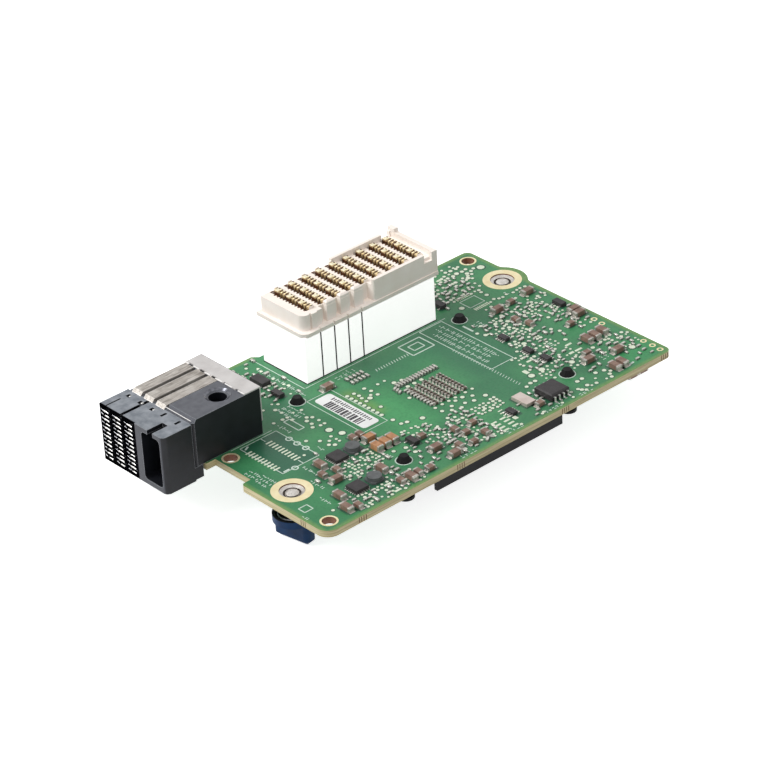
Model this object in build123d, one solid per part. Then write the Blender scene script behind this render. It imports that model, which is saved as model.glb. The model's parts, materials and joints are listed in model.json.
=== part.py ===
from build123d import *
import os
from math import cos, sin, pi, sqrt

os.makedirs("parts", exist_ok=True)

# Millimetres. The origin lies on the axis of the near captive screw, in the board's top face.
# +X runs along the long edge, +Y from the near long edge to the far one, and +Z out of the face
# that carries the two connectors.

# Circuit board
board_length = 99.1
board_width = 64.5
board_thick = 1.57
screw_from_left = 5.7
screw_from_front = 17.4
near_corner_r = 3.0
corner_r = 1.6
notch_depth = 2.5
notch_y = 9.3
notch_width = 11.4
notch_r = 0.8
recess_depth = 1.3
recess_x = 28.7
recess_length = 40.5

# Captive screws
screw_pitch_x = 89.7
screw_pitch_y = 31.7
screw_hole_r = 2.75
seat_ring_r = 4.45
pad_thick = 0.04
lobe_r = 5.8
lobe_blend_r = 2.5
ferrule_fit = 0.05
ferrule_recess = 0.8
ferrule_drop = 1.5
ferrule_bore_r = 1.9
ferrule_ledge = 0.5
thread_r = 1.5
thread_length = 1.6
shank_r = 1.1
running_gap = 0.08
rest_gap = 0.05
screw_travel = 3.0
cup_r = 4.5
cup_wall = 0.6
cup_floor = 0.5
cup_height = 1.6
spring_wire = 0.35
spring_steps = 8
spring_turns = 3.0
captive_spring_gap = 0.4
knob_length = 9.2
knob_thick = 3.1
knob_height = 4.9
knob_edge_r = 1.2
knob_turn = 10.0
knob_foot = 0.9

# Tooling holes, from the near screw
tool_hole_r = 1.5
tool_hole_from_far_edge = 3.5
tool_holes_near = [(-2.2, -14.0), (-0.8, 18.6)]
tool_hole_far_x = 90.3

# Heat sink, processor and push pins, about their common centre
sink_x = 47.1
sink_y = 8.65
pin_spacing_x = 47.3
pin_spacing_y = 33.7
pin_hole_r = 1.5
processor_size = 27.0
substrate_thick = 1.2
lid_size = 21.0
lid_thick = 1.0
pad_size = 20.0
thermal_gap = 0.3
sink_length = 53.4
sink_width = 41.2
sink_corner = 2.0
sink_base = 2.0
fin_block = 36.5
fin_shift = 0.5
fin_inset = 0.5
fin_height = 2.8
fin_thick = 0.9
fin_count = 12
pin_shaft_r = 1.2
pin_barb_r = 1.65
pin_taper = 28.0
pin_tip = 1.3
pin_head_r = 1.9
pin_head = 0.7
pin_sides = 16
pin_spring_length = 2.2
pin_spring_turns = 2.0

# Mezzanine connector
mezz_x = 29.8
mezz_y = 29.5
mezz_length = 37.5
mezz_width = 14.4
mezz_height = 11.0
first_seam = 4.6
row_pitch = 3.91
wafer_rows = 4
block_rows = 5
seam_gap = 0.25
flange_thick = 0.9
flange_lip = 0.2
flange_end = 1.3
flange_back = 1.2
flange_notch = 0.35
flange_notch_depth = 0.5
flange_r = 1.8
low_height = 3.8
low_inset = 1.0
low_end_inset = 0.7
low_back = 0.4
low_corner_r = 1.6
housing_edge_r = 0.6
tall_height = 5.2
tall_start = 20.2
tall_wall = 0.9
tooth_gap = 1.35
tooth_gap_shift = 1.6
tooth_gap_depth = 1.3
tooth_rib = 1.5
tooth_rib_depth = 0.35
tooth_rib_gap = 0.35
first_slot = 3.53
slot_width = 0.9
slot_front = 2.55
slot_length = 11.35
slot_depth = 2.5
ridge_width = 1.3
ridge_height = 0.55
key_slot = 2.3
key_slot_depth = 2.0
key_slot_x = 34.95
post_rise = 0.9
post_length = 2.2
end_wall = 1.2
contact_thick = 0.25
contact_rise = 0.15
contact_depth = 2.0
wide_contact = 1.35
narrow_contact = 0.55
contact_group = 3.88
contact_groups = 3
contact_end = 0.2
contact_space = 0.42

# Backplane connector
back_x = -15.9
back_y = 21.15
front_depth = 7.7
front_width = 20.9
front_height = 13.7
front_below = 3.3
column_pitch = 3.9
column_count = 3
first_column = 11.0
cavity_width = 2.9
cavity_height = 1.4
cavity_pitch = 1.88
cavity_count = 7
cavity_depth = 1.2
cavity_base = 0.55
beam_long = 2.2
beam_short = 1.2
beam_thick = 0.25
beam_slant = 12.0
beam_setback = 0.1
beam_low = 0.15
beam_step = 0.85
channel_width = 6.0
channel_wall = 1.2
channel_depth = 7.0
channel_floor = 1.2
channel_roof = 1.0
channel_corner_r = 1.0
key_width = 1.8
key_depth = 4.2
window_x = 5.5
window_length = 1.1
window_width = 1.0
window_shift = 0.2
window_depth = 0.8
groove_width = 0.4
groove_depth = 0.5
valley_shift = 1.05
valley_width = 0.9
valley_depth = 1.0
pocket_length = 1.6
pocket_width = 0.7
lug_length = 2.1
lug_rise = 0.3
lug_height = 2.9
wafer_gap = 0.15
wafer_shift = 0.4
body_length = 18.4
rib_width = 2.85
rib_height = 0.75
rib_lap = 0.1
rib_bevel = 0.7
rib_shift = 0.75
guide_width = 8.6
guide_step = 0.8
guide_bevel = 0.5
guide_hole_r = 2.0
guide_sink_r = 2.9
guide_sink_depth = 0.55
guide_hole_depth = 7.0
guide_hole_x = 10.6
plate_width = 4.1
plate_thick = 0.25
plate_skirt = 8.0
plate_tooth = 1.6
plate_tooth_depth = 0.4
plate_tooth_pitch = 3.88
plate_tooth_first = 2.15
plate_teeth = 5

# Parts soldered to the board
controller_size = 3.4
controller_height = 0.85
inductor_r = 1.65
inductor_height = 1.25
inductor_base = 0.4
inductor_corner = 0.5
inductor_drum_r = 1.6
memory_size = 5.2
memory_height = 1.75
memory_standoff = 0.15
memory_lead = 0.42
memory_pitch = 1.27
memory_span = 7.6
memory_lead_thick = 0.2
memory_chamfer = 0.25
memory_knee = 0.55
crystal_size = (2.7, 4.7, 0.75)
interface_size = (2.4, 4.2, 1.0)
transistor_size = (1.5, 2.9, 0.9)
driver_size = (2.0, 3.0, 0.85)
large_cap = (1.5, 3.0, 1.1)
orange_cap = (1.6, 2.9, 1.3)
medium_cap = (1.25, 2.0, 0.85)
small_cap = (0.6, 1.1, 0.55)
label_size = (4.5, 16.2, 0.1)
label_place = (28.2, 15.0)
controllers = [(14.5, 2.4), (9.7, -9.2)]
inductors = [(18.9, 2.6), (14.3, -9.3)]
memory_place = (62.9, -11.5)
crystal_place = (56.6, -9.4)
interface_from_far_edge = 9.7
interface_x = 23.2
transistor_x = 22.3
transistor_from_far_edge = 16.5
transistors_near = [(90.6, 14.4), (29.4, -4.3), (71.8, 33.2)]
drivers = [(51.6, -10.9), (71.7, 12.4), (71.6, 4.6), (72.0, -0.4)]

# Chip capacitors: place, and whether the long side lies along X
orange_caps = [(23.7, 2.9, 1), (22.6, -0.8, 0), (24.8, -0.8, 0), (26.9, -0.8, 0)]
large_caps = [
    (10.0, 2.6, 0), (8.7, -3.9, 1), (5.1, -9.0, 0), (3.1, -13.4, 0), (17.8, -7.6, 0), (20.0, -14.2, 0),
    (30.9, -9.8, 1), (32.1, -14.3, 1), (31.4, 24.9, 1), (90.4, 8.0, 1), (90.7, 9.9, 1),
    (83.6, -1.3, 0), (85.8, -1.4, 0), (88.4, -1.1, 0), (77.6, -7.8, 1), (84.9, -9.4, 1),
    (79.6, -13.8, 0), (81.8, -13.7, 0), (89.3, 23.2, 1), (79.1, 22.2, 1),
]
medium_caps = [
    (21.7, 5.6, 0), (23.6, 5.6, 0), (7.9, -0.5, 0), (11.2, -1.2, 0), (5.4, -14.4, 0), (17.6, -13.8, 0),
    (22.2, -14.0, 0), (24.9, -14.6, 1), (31.9, -4.3, 1), (35.0, -12.6, 0), (38.0, -13.8, 1),
    (39.3, -9.9, 1), (38.6, -7.4, 0), (42.9, -8.1, 1), (42.3, -12.8, 0), (57.9, -13.0, 1), (85.9, 6.1, 1),
    (79.4, -5.4, 1), (83.6, 22.6, 1), (79.0, 16.2, 0), (80.0, 12.8, 0),
]

# Rows of small capacitors over the processor's pads, on the side away from it
array_x = 43.1
array_y = 3.3
array_pitch_x = 2.05
array_pitch_y = 1.0
array_columns = 5
array_rows = 9
under_cap = (2.8, 1.5, 1.0)
under_caps = [(82.35, -16.0), (85.35, -16.0)]

# Places that follow from the values above
x_left = -screw_from_left
x_right = x_left + board_length
y_front = -screw_from_front
y_back = y_front + board_width
tool_holes = tool_holes_near + [(tool_hole_far_x, y_back - tool_hole_from_far_edge)]
transistors = transistors_near + [(transistor_x, y_back - transistor_from_far_edge)]
z_under = -board_thick
screw_places = {"near": (0.0, 0.0), "far": (screw_pitch_x, screw_pitch_y)}
pin_places = [(sink_x + i * pin_spacing_x / 2, sink_y + j * pin_spacing_y / 2)
              for j in (-1, 1) for i in (-1, 1)]


def block(x0, x1, y0, y1, z0, z1):
    """A box between two corners."""
    return Pos((x0 + x1) / 2, (y0 + y1) / 2, (z0 + z1) / 2) * Box(x1 - x0, y1 - y0, z1 - z0)


def disc(x, y, r, z0, z1):
    """An upright cylinder between two heights."""
    return Pos(x, y, (z0 + z1) / 2) * Cylinder(r, z1 - z0)


def plate(x0, x1, y0, y1, z0, z1, r):
    """A slab whose near left upright edge is rounded."""
    outline = Pos((x0 + x1) / 2, (y0 + y1) / 2, z0) * Rectangle(x1 - x0, y1 - y0)
    outline = fillet(outline.vertices().sort_by_distance((x0, y0, z0))[0], r)
    return extrude(outline, amount=z1 - z0)


def chip(place, size, z=0.0, along_x=0):
    """A chip component that stands on height z, its long side along Y unless turned."""
    w, l, h = size
    if along_x:
        w, l = l, w
    return Pos(place[0], place[1], z + h / 2) * Box(w, l, h)


def coil(x, y, r, wire, z0, z1, turns):
    """A round coil spring between two heights, its wire square and its turns faceted."""
    steps = spring_steps
    count = int(turns * steps)
    low, high = z0 + wire / 2, z1 - wire / 2
    route = [Vector(x + r * cos(2 * pi * i / steps), y + r * sin(2 * pi * i / steps),
                    low + (high - low) * i / count) for i in range(count + 1)]
    start = Plane(origin=route[0], z_dir=route[1] - route[0])
    section = start * RegularPolygon(wire / 2, 4)
    return sweep(section, path=Polyline(*route), transition=Transition.RIGHT)


def group(solids):
    return Compound(children=[s.solid() for s in solids])


def save(name, shape):
    export_step(shape, os.path.join("parts", name + ".step"))


def circuit_board():
    length, width = x_right - x_left, y_back - y_front
    outline = Pos((x_left + x_right) / 2, (y_front + y_back) / 2) * Rectangle(length, width)
    corners = outline.vertices().sort_by(Axis.X)
    near_left = corners[0:2].sort_by(Axis.Y)[0]
    others = [v for v in corners if v != near_left]
    outline = fillet(others, corner_r)
    outline = fillet(outline.vertices().sort_by_distance((x_left, y_front, 0))[0], near_corner_r)

    # The notch beside the black connector, and the shallow recess behind the mezzanine connector.
    notch = Pos(x_left, notch_y + notch_width / 2) * Rectangle(2 * notch_depth, notch_width)
    outline -= notch
    outline = fillet(outline.vertices().sort_by_distance((x_left, notch_y, 0))[0], notch_r)
    recess = Polyline((recess_x, y_back), (recess_x + recess_depth, y_back - recess_depth),
                      (recess_x + recess_length - recess_depth, y_back - recess_depth),
                      (recess_x + recess_length, y_back), close=True)
    outline -= make_face(recess)

    # The lobe that carries the far screw beyond the straight edge.
    reach = x_right - screw_pitch_x
    outline += Pos(screw_pitch_x, screw_pitch_y) * Circle(lobe_r)
    if lobe_r > reach:
        rise = sqrt(lobe_r ** 2 - reach ** 2)
        for y in screw_pitch_y - rise, screw_pitch_y + rise:
            outline = fillet(outline.vertices().sort_by_distance((x_right, y, 0))[0], lobe_blend_r)

    for x, y in screw_places.values():
        outline -= Pos(x, y) * Circle(screw_hole_r)
    for x, y in tool_holes:
        outline -= Pos(x, y) * Circle(tool_hole_r)
    for x, y in pin_places:
        outline -= Pos(x, y) * Circle(pin_hole_r)
    return extrude(outline, amount=-board_thick)


def ring(x, y, outer, inner):
    face = Pos(x, y) * (Circle(outer) - Circle(inner))
    return extrude(face, amount=pad_thick)


def seat_rings():
    return group([ring(x, y, seat_ring_r, screw_hole_r) for x, y in screw_places.values()])


# Heights of the captive screw, all hung from the ferrule under the board
ferrule_r = screw_hole_r - ferrule_fit
ferrule_low = z_under - ferrule_drop
ledge_top = ferrule_low + ferrule_ledge
thread_low = ledge_top + rest_gap
floor_top = ferrule_low - screw_travel - rest_gap
cup_low = floor_top - cup_floor
cup_top = cup_low + cup_height
knob_top = cup_low - rest_gap


def ferrule(x, y):
    """A sleeve pressed into the board, with an inner ledge that the screw's thread can't pass."""
    body = disc(x, y, ferrule_r, ferrule_low, -ferrule_recess)
    body -= disc(x, y, ferrule_bore_r, ledge_top, 0)
    return body - disc(x, y, shank_r + running_gap, ferrule_low, ledge_top)


def screw(x, y):
    body = disc(x, y, thread_r, thread_low, thread_low + thread_length)
    return body + disc(x, y, shank_r, knob_top, thread_low)


def spring_cup(x, y):
    body = disc(x, y, cup_r, cup_low, cup_top)
    body -= disc(x, y, cup_r - cup_wall, floor_top, cup_top)
    return body - disc(x, y, shank_r + running_gap, cup_low, floor_top)


def knob(x, y):
    wing = Box(knob_thick, knob_length, knob_height)
    wing = fillet(wing.edges().filter_by(Axis.Z), knob_edge_r)
    wing = chamfer(wing.edges().group_by(Axis.Z)[0], knob_foot)
    return Pos(x, y, knob_top - knob_height / 2) * Rot(0, 0, knob_turn) * wing


def captive_spring(x, y):
    r = ferrule_r + captive_spring_gap + spring_wire / 2
    return coil(x, y, r, spring_wire, floor_top, z_under, spring_turns)


# Heights of the heat sink stack
lid_low = z_under - substrate_thick - lid_thick
base_top = lid_low - thermal_gap
base_low = base_top - sink_base
head_top = base_low - pin_spring_length
head_low = head_top - pin_head


def processor():
    h = processor_size / 2
    body = block(sink_x - h, sink_x + h, sink_y - h, sink_y + h, z_under - substrate_thick, z_under)
    h = lid_size / 2
    return body + block(sink_x - h, sink_x + h, sink_y - h, sink_y + h, lid_low, z_under - substrate_thick)


def thermal_pad():
    h = pad_size / 2
    return block(sink_x - h, sink_x + h, sink_y - h, sink_y + h, base_top, lid_low)


def heat_sink():
    half_x, half_y = sink_length / 2, sink_width / 2
    body = block(sink_x - half_x, sink_x + half_x, sink_y - half_y, sink_y + half_y, base_low, base_top)
    body = chamfer(body.edges().filter_by(Axis.Z), sink_corner)
    x0 = sink_x + fin_shift - fin_block / 2
    first = sink_y - half_y + fin_inset
    pitch = (sink_width - 2 * fin_inset - fin_thick) / (fin_count - 1)
    for i in range(fin_count):
        y = first + i * pitch
        body += block(x0, x0 + fin_block, y, y + fin_thick, base_low - fin_height, base_low)
    for x, y in pin_places:
        body -= disc(x, y, pin_shaft_r + running_gap, base_low, base_top)
    return body


def push_pin(x, y):
    """A faceted head under the heat sink, a square shaft and a barb wider than the board's hole."""
    half = pin_shaft_r / sqrt(2)
    body = block(x - half, x + half, y - half, y + half, head_top, 0)
    body += extrude(Pos(x, y, head_low) * RegularPolygon(pin_head_r, pin_sides), amount=pin_head)
    foot = Pos(x, y, 0) * RegularPolygon(pin_barb_r, pin_sides)
    return body + extrude(foot, amount=pin_tip, taper=pin_taper)


def pin_spring(x, y):
    r = (pin_shaft_r + pin_head_r) / 2
    return coil(x, y, r, spring_wire, head_top, base_low, pin_spring_turns)


# Places of the mezzanine connector
mezz_end = mezz_x + mezz_length
mezz_back = mezz_y + mezz_width
seams = [mezz_x + first_seam + i * row_pitch for i in range(wafer_rows)]
flange_top = mezz_height + flange_thick
low_top = flange_top + low_height
tall_top = flange_top + tall_height
low_front = mezz_y + low_inset
slots = [mezz_x + first_slot + i * row_pitch for i in range(wafer_rows + block_rows)]
slot_y = mezz_y + slot_front


def mezz_wafer(i):
    x0 = mezz_x if i == 0 else seams[i - 1] + seam_gap / 2
    return block(x0, seams[i] - seam_gap / 2, mezz_y, mezz_back, 0, mezz_height)


def mezz_body():
    return block(seams[-1] + seam_gap / 2, mezz_end, mezz_y, mezz_back, 0, mezz_height)


def mezz_housing():
    x_far = mezz_end + flange_end
    y_far = mezz_back + low_back
    body = plate(mezz_x - flange_lip, x_far, mezz_y - flange_lip, mezz_back + flange_back, mezz_height,
                 flange_top, flange_r)
    for seam in seams:
        body -= block(seam - flange_notch / 2, seam + flange_notch / 2, mezz_y - flange_lip,
                      mezz_y - flange_lip + flange_notch_depth, mezz_height, flange_top)
    split = mezz_x + tall_start
    low = plate(mezz_x + low_end_inset, split + tall_wall, low_front, y_far, flange_top, low_top,
                low_corner_r)

    # The near side of the low part is cut into teeth, and its first tooth bears a rib.
    for seam in seams:
        x = seam + tooth_gap_shift
        width = split - x if seam == seams[-1] else tooth_gap
        low -= block(x, x + width, low_front, low_front + tooth_gap_depth, flange_top, low_top)
    rib_x = seams[0] - tooth_rib
    low += block(rib_x, seams[0], low_front - tooth_rib_depth, low_front, flange_top, low_top)
    low -= block(rib_x - tooth_rib_gap, rib_x, low_front, low_front + tooth_rib_gap, flange_top, low_top)

    # The tall part is open towards the low one, with walls on its other three sides. Its end wall
    # rises to a post at the far corner, and both long walls stop short of it.
    tall = plate(split, x_far, mezz_y, y_far, flange_top, tall_top, housing_edge_r)
    tall -= block(split, x_far - end_wall, mezz_y + tall_wall, y_far - tall_wall, low_top, tall_top)
    key_x = mezz_x + key_slot_x
    tall -= block(key_x, key_x + key_slot, mezz_y, mezz_y + tall_wall, tall_top - key_slot_depth, tall_top)
    tall -= block(key_x, key_x + key_slot, y_far - tall_wall, y_far, low_top, tall_top)
    tall += block(x_far - end_wall, x_far, y_far - post_length, y_far, low_top, tall_top + post_rise)
    body += low + tall

    for x in slots:
        body += block(x + slot_width / 2, x + slot_width / 2 + ridge_width, slot_y, slot_y + slot_length,
                      low_top, low_top + ridge_height)
        body -= block(x - slot_width / 2, x + slot_width / 2, slot_y, slot_y + slot_length,
                      low_top - slot_depth, low_top)
    return body


def mezz_contacts():
    """Each row repeats one wide and two narrow gold contacts on the ridge beside its slot."""
    top = low_top + ridge_height
    solids = []
    for x in slots:
        face = x + slot_width / 2
        for i in range(contact_groups):
            far = slot_y + slot_length - contact_end - i * contact_group
            near = far - wide_contact
            strip = block(face - contact_thick, face, near, far, low_top - contact_depth, top + contact_rise)
            solids.append(strip + block(face, face + ridge_width / 2, near, far, top, top + contact_rise))
            for k in (0, 1):
                far = near - contact_space
                near = far - narrow_contact
                solids.append(block(face - contact_thick, face, near, far, low_top - contact_depth,
                                    top + contact_rise))
    return group(solids)


# Places of the backplane connector
front_low = -front_below
front_top = front_low + front_height
front_end = back_x + front_depth
front_far = back_y + front_width
columns = [back_y + first_column + i * column_pitch for i in range(column_count)]
body_end = front_end + body_length
rib_top = front_top + rib_height
channel_y = back_y + channel_wall


def backplane_housing():
    body = block(back_x, front_end, back_y, front_far, front_low, front_top)
    body = fillet(body.edges().filter_by(Axis.Z).group_by(Axis.X)[0].sort_by(Axis.Y)[0:1], channel_wall)

    # The keyway: a deep channel, open to the front, with a narrow slot through its roof.
    channel = block(back_x, back_x + channel_depth, channel_y, channel_y + channel_width,
                    front_low + channel_floor, front_top - channel_roof)
    channel = fillet(channel.edges().filter_by(Axis.X), channel_corner_r)
    body -= channel
    middle = channel_y + channel_width / 2
    body -= block(back_x, back_x + key_depth, middle - key_width / 2, middle + key_width / 2,
                  front_top - channel_roof - channel_corner_r, front_top)

    # The mating face: columns of cavities.
    for y in columns:
        for i in range(cavity_count):
            z = front_low + cavity_base + i * cavity_pitch
            body -= block(back_x, back_x + cavity_depth, y - cavity_width / 2, y + cavity_width / 2, z,
                          z + cavity_height)

    # Grooves and inspection windows in the top.
    for y in columns:
        middle = y - window_shift
        body -= block(back_x + window_x, back_x + window_x + window_length, middle - window_width / 2,
                      middle + window_width / 2, front_top - window_depth, front_top)
    body -= block(back_x, back_x + key_depth, columns[2], columns[2] + groove_width, front_top - groove_depth,
                  front_top)
    middle = columns[1] - valley_shift
    body -= block(back_x, front_end, middle - valley_width / 2, middle + valley_width / 2,
                  front_top - valley_depth, front_top)
    for y in channel_y + channel_wall, channel_y + channel_width - window_shift:
        body -= block(back_x + window_x, back_x + window_x + pocket_length, y, y + pocket_width,
                      front_top - groove_depth, front_top)
    low = front_low + lug_rise
    return body + block(front_end, front_end + lug_length, back_y, front_far, low, low + lug_height)


def backplane_contacts():
    """In each cavity a long slanted beam lies over a short one."""
    solids = []
    for y in columns:
        for i in range(cavity_count):
            z = front_low + cavity_base + i * cavity_pitch + beam_low
            x0, x1 = back_x + beam_setback, back_x + cavity_depth
            solids.append(block(x0, x1, y - beam_short / 2, y + beam_short / 2, z, z + beam_thick))
            beam = Rot(beam_slant, 0, 0) * Box(x1 - x0, beam_long, beam_thick)
            solids.append(Pos((x0 + x1) / 2, y, z + beam_step) * beam)
    return group(solids)


def backplane_wafer(i):
    y = columns[i] - wafer_shift
    half = (column_pitch - wafer_gap) / 2
    return block(front_end, body_end, y - half, y + half, 0, front_top)


def shield_rib(i):
    y = columns[i] - rib_shift
    x0 = front_end - rib_lap
    side = Polyline((x0, front_top), (body_end - plate_width, front_top), (body_end - plate_width, rib_top),
                    (x0 + rib_bevel, rib_top), close=True)
    profile = make_face(Plane.XZ.offset(-(y - rib_width / 2)) * side)
    return extrude(profile, amount=-rib_width)


def guide_module():
    y0 = back_y
    y1 = back_y + guide_width
    x0 = front_end + guide_step
    side = Polyline((front_end, 0), (body_end, 0), (body_end, rib_top), (x0 + guide_bevel, rib_top),
                    (x0, front_top), (front_end, front_top), close=True)
    profile = make_face(Plane.XZ.offset(-y0) * side)
    body = extrude(profile, amount=-(y1 - y0))
    corner = body.edges().filter_by(Axis.Z).sort_by_distance((front_end, y0, front_top / 2))[0]
    body = chamfer(corner, guide_step)
    x, y = front_end + guide_hole_x, y0 + guide_width / 2
    body -= disc(x, y, guide_hole_r, rib_top - guide_hole_depth, rib_top)
    sink = Cone(guide_hole_r, guide_sink_r, guide_sink_depth)
    return body - Pos(x, y, rib_top - guide_sink_depth / 2) * sink


def stiffener_plate():
    """A folded strip over the rear ends of the modules, its front edge castellated."""
    y0, y1 = back_y, columns[-1] - rib_shift + rib_width / 2
    x0 = body_end - plate_width
    body = block(x0, body_end + plate_thick, y0, y1, rib_top, rib_top + plate_thick)
    body += block(body_end, body_end + plate_thick, y0, y1, rib_top - plate_skirt, rib_top)
    for k in range(plate_teeth):
        y = y0 + plate_tooth_first + k * plate_tooth_pitch
        body -= block(x0, x0 + plate_tooth_depth, y - plate_tooth / 2, y + plate_tooth / 2, rib_top,
                      rib_top + plate_thick)
    return body


def controller(place):
    return chip(place, (controller_size, controller_size, controller_height))


def inductor(place):
    x, y = place
    base = block(x - inductor_r, x + inductor_r, y - inductor_r, y + inductor_r, 0, inductor_base)
    base = chamfer(base.edges().filter_by(Axis.Z), inductor_corner)
    return base + disc(x, y, inductor_drum_r, inductor_base, inductor_height)


def memory_chip():
    x, y = memory_place
    h = memory_size / 2
    body = block(x - h, x + h, y - h, y + h, memory_standoff, memory_height)
    return chamfer(body.edges().group_by(Axis.Z)[-1], memory_chamfer)


def memory_leads():
    x, y = memory_place
    h = memory_size / 2
    mid = (memory_height + memory_standoff) / 2
    foot = (memory_span - memory_size) / 2
    solids = []
    for side in (-1, 1):
        for k in range(4):
            cx = x + (k - 1.5) * memory_pitch
            turn = Pos(cx, y, 0) * Rot(0, 0, 0 if side > 0 else 180)
            w = memory_lead / 2
            arm = block(-w, w, h, h + memory_knee, mid, mid + memory_lead_thick)
            leg = block(-w, w, h + memory_knee - memory_lead_thick, h + memory_knee, 0, mid)
            toe = block(-w, w, h + memory_knee, h + foot, 0, memory_lead_thick)
            solids.append(turn * (arm + leg + toe))
    return group(solids)


def chips(places, size):
    return group([chip((x, y), size, 0.0, turned) for x, y, turned in places])


def capacitor_array():
    places = [(array_x + i * array_pitch_x, array_y + j * array_pitch_y)
              for i in range(array_columns) for j in range(array_rows)]
    return group([chip(place, small_cap, 0.0, 1) for place in places])


def underside_capacitors():
    return group([chip(place, under_cap, z_under - under_cap[2], 0) for place in under_caps])


save("circuit_board", circuit_board())
save("seat_rings", seat_rings())
for side, place in screw_places.items():
    save(side + "_ferrule", ferrule(*place))
    save(side + "_screw", screw(*place))
    save(side + "_spring_cup", spring_cup(*place))
    save(side + "_knob", knob(*place))
    save(side + "_spring", captive_spring(*place))

save("processor", processor())
save("thermal_pad", thermal_pad())
save("heat_sink", heat_sink())
for number, place in enumerate(pin_places, 1):
    save("push_pin_%d" % number, push_pin(*place))
    save("pin_spring_%d" % number, pin_spring(*place))

save("mezz_housing", mezz_housing())
for number in range(wafer_rows):
    save("mezz_wafer_%d" % (number + 1), mezz_wafer(number))
save("mezz_body", mezz_body())
save("mezz_contacts", mezz_contacts())

save("backplane_housing", backplane_housing())
save("backplane_contacts", backplane_contacts())
for number in range(column_count):
    save("backplane_wafer_%d" % (number + 1), backplane_wafer(number))
    save("shield_rib_%d" % (number + 1), shield_rib(number))
save("guide_module", guide_module())
save("stiffener_plate", stiffener_plate())

for number, place in enumerate(controllers, 1):
    save("power_controller_%d" % number, controller(place))
for number, place in enumerate(inductors, 1):
    save("inductor_%d" % number, inductor(place))
save("memory_chip", memory_chip())
save("memory_leads", memory_leads())
save("crystal", chip(crystal_place, crystal_size))
save("interface_chip", chip((interface_x, y_back - interface_from_far_edge), interface_size))
save("drivers", group([chip(place, driver_size) for place in drivers]))
save("transistors", group([chip(place, transistor_size) for place in transistors]))
save("capacitors_large", chips(large_caps, large_cap))
save("capacitors_orange", chips(orange_caps, orange_cap))
save("capacitors_medium", chips(medium_caps, medium_cap))
save("capacitor_array", capacitor_array())
save("underside_capacitors", underside_capacitors())
save("label", chip(label_place, label_size))
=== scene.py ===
# %% [markdown]
# # Dressing a mezzanine card
# The object is a small circuit board that plugs between a server's main board and its backplane.
# Its frame, which says where every solid piece is, comes ready made. This lesson adds what the
# frame leaves out: the light, the finishes, and the many small things soldered and printed on it.

# %% Load the frame
import json
import math
import random

import bpy
from mathutils import Matrix, Vector


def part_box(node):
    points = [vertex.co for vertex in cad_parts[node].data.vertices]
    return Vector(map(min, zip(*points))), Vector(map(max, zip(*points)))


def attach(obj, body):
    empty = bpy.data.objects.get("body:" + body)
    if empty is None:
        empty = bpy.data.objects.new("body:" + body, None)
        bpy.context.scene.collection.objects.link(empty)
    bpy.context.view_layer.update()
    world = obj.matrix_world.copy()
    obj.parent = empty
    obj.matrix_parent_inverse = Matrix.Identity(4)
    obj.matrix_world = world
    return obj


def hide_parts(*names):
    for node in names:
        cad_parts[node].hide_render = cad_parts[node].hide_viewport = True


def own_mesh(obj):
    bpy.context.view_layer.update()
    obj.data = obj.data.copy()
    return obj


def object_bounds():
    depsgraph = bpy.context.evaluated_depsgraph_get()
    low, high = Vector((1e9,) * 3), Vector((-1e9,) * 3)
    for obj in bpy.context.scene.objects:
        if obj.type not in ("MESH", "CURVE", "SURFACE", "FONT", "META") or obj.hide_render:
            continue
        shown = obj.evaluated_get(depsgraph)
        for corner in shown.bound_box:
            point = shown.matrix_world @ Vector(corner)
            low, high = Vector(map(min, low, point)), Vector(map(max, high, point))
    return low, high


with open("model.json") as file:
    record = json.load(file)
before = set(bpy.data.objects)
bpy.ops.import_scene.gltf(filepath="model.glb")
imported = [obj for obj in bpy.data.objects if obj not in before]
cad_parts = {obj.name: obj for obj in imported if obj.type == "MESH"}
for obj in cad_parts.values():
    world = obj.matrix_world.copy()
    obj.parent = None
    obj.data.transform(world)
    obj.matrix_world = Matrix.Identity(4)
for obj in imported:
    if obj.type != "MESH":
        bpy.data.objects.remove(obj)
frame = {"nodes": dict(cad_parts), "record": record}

cad_box = [list(corner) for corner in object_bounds()]
nodes = frame["nodes"]
print("CAD nodes:", len(nodes))

# %% [markdown]
# ## Camera
# The photograph was taken from far away with a long lens, so the board's long edges stay almost
# parallel. The camera is placed by the direction it looks in, a little rolled, and it is turned by
# a matrix, because the three angles then need no conversion.

# %% Place the camera
MM = 0.001
AIM = Vector((41.03, 17.45, 0.0)) * MM
DISTANCE = 722.25 * MM
LENS, SENSOR = 158.2, 36.0
YAW, PITCH, ROLL = math.radians(49.72), math.radians(31.05), math.radians(-3.40)
forward = Vector((math.cos(YAW) * math.cos(PITCH), math.sin(YAW) * math.cos(PITCH), -math.sin(PITCH)))
level = Vector((math.sin(YAW), -math.cos(YAW), 0.0))
down = forward.cross(level)
right = math.cos(ROLL) * level - math.sin(ROLL) * down
low = math.sin(ROLL) * level + math.cos(ROLL) * down

camera = bpy.data.objects.new("camera", bpy.data.cameras.new("camera"))
camera.data.lens = LENS
camera.data.sensor_width = SENSOR
camera.data.clip_start = 0.01
rotation = Matrix((right, -low, -forward)).transposed().to_4x4()
camera.matrix_world = Matrix.Translation(AIM - forward * DISTANCE) @ rotation
bpy.context.collection.objects.link(camera)
bpy.context.scene.camera = camera
print("camera at", [round(value, 3) for value in camera.location])

# %% [markdown]
# ## Colours and nodes
# A colour is written as on a paint card, in six hexadecimal digits, and one function turns it into
# the linear values that the shader wants. A second small function adds any node, sets its fields
# and inputs and links it, so that a finish reads as a short list.

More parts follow.
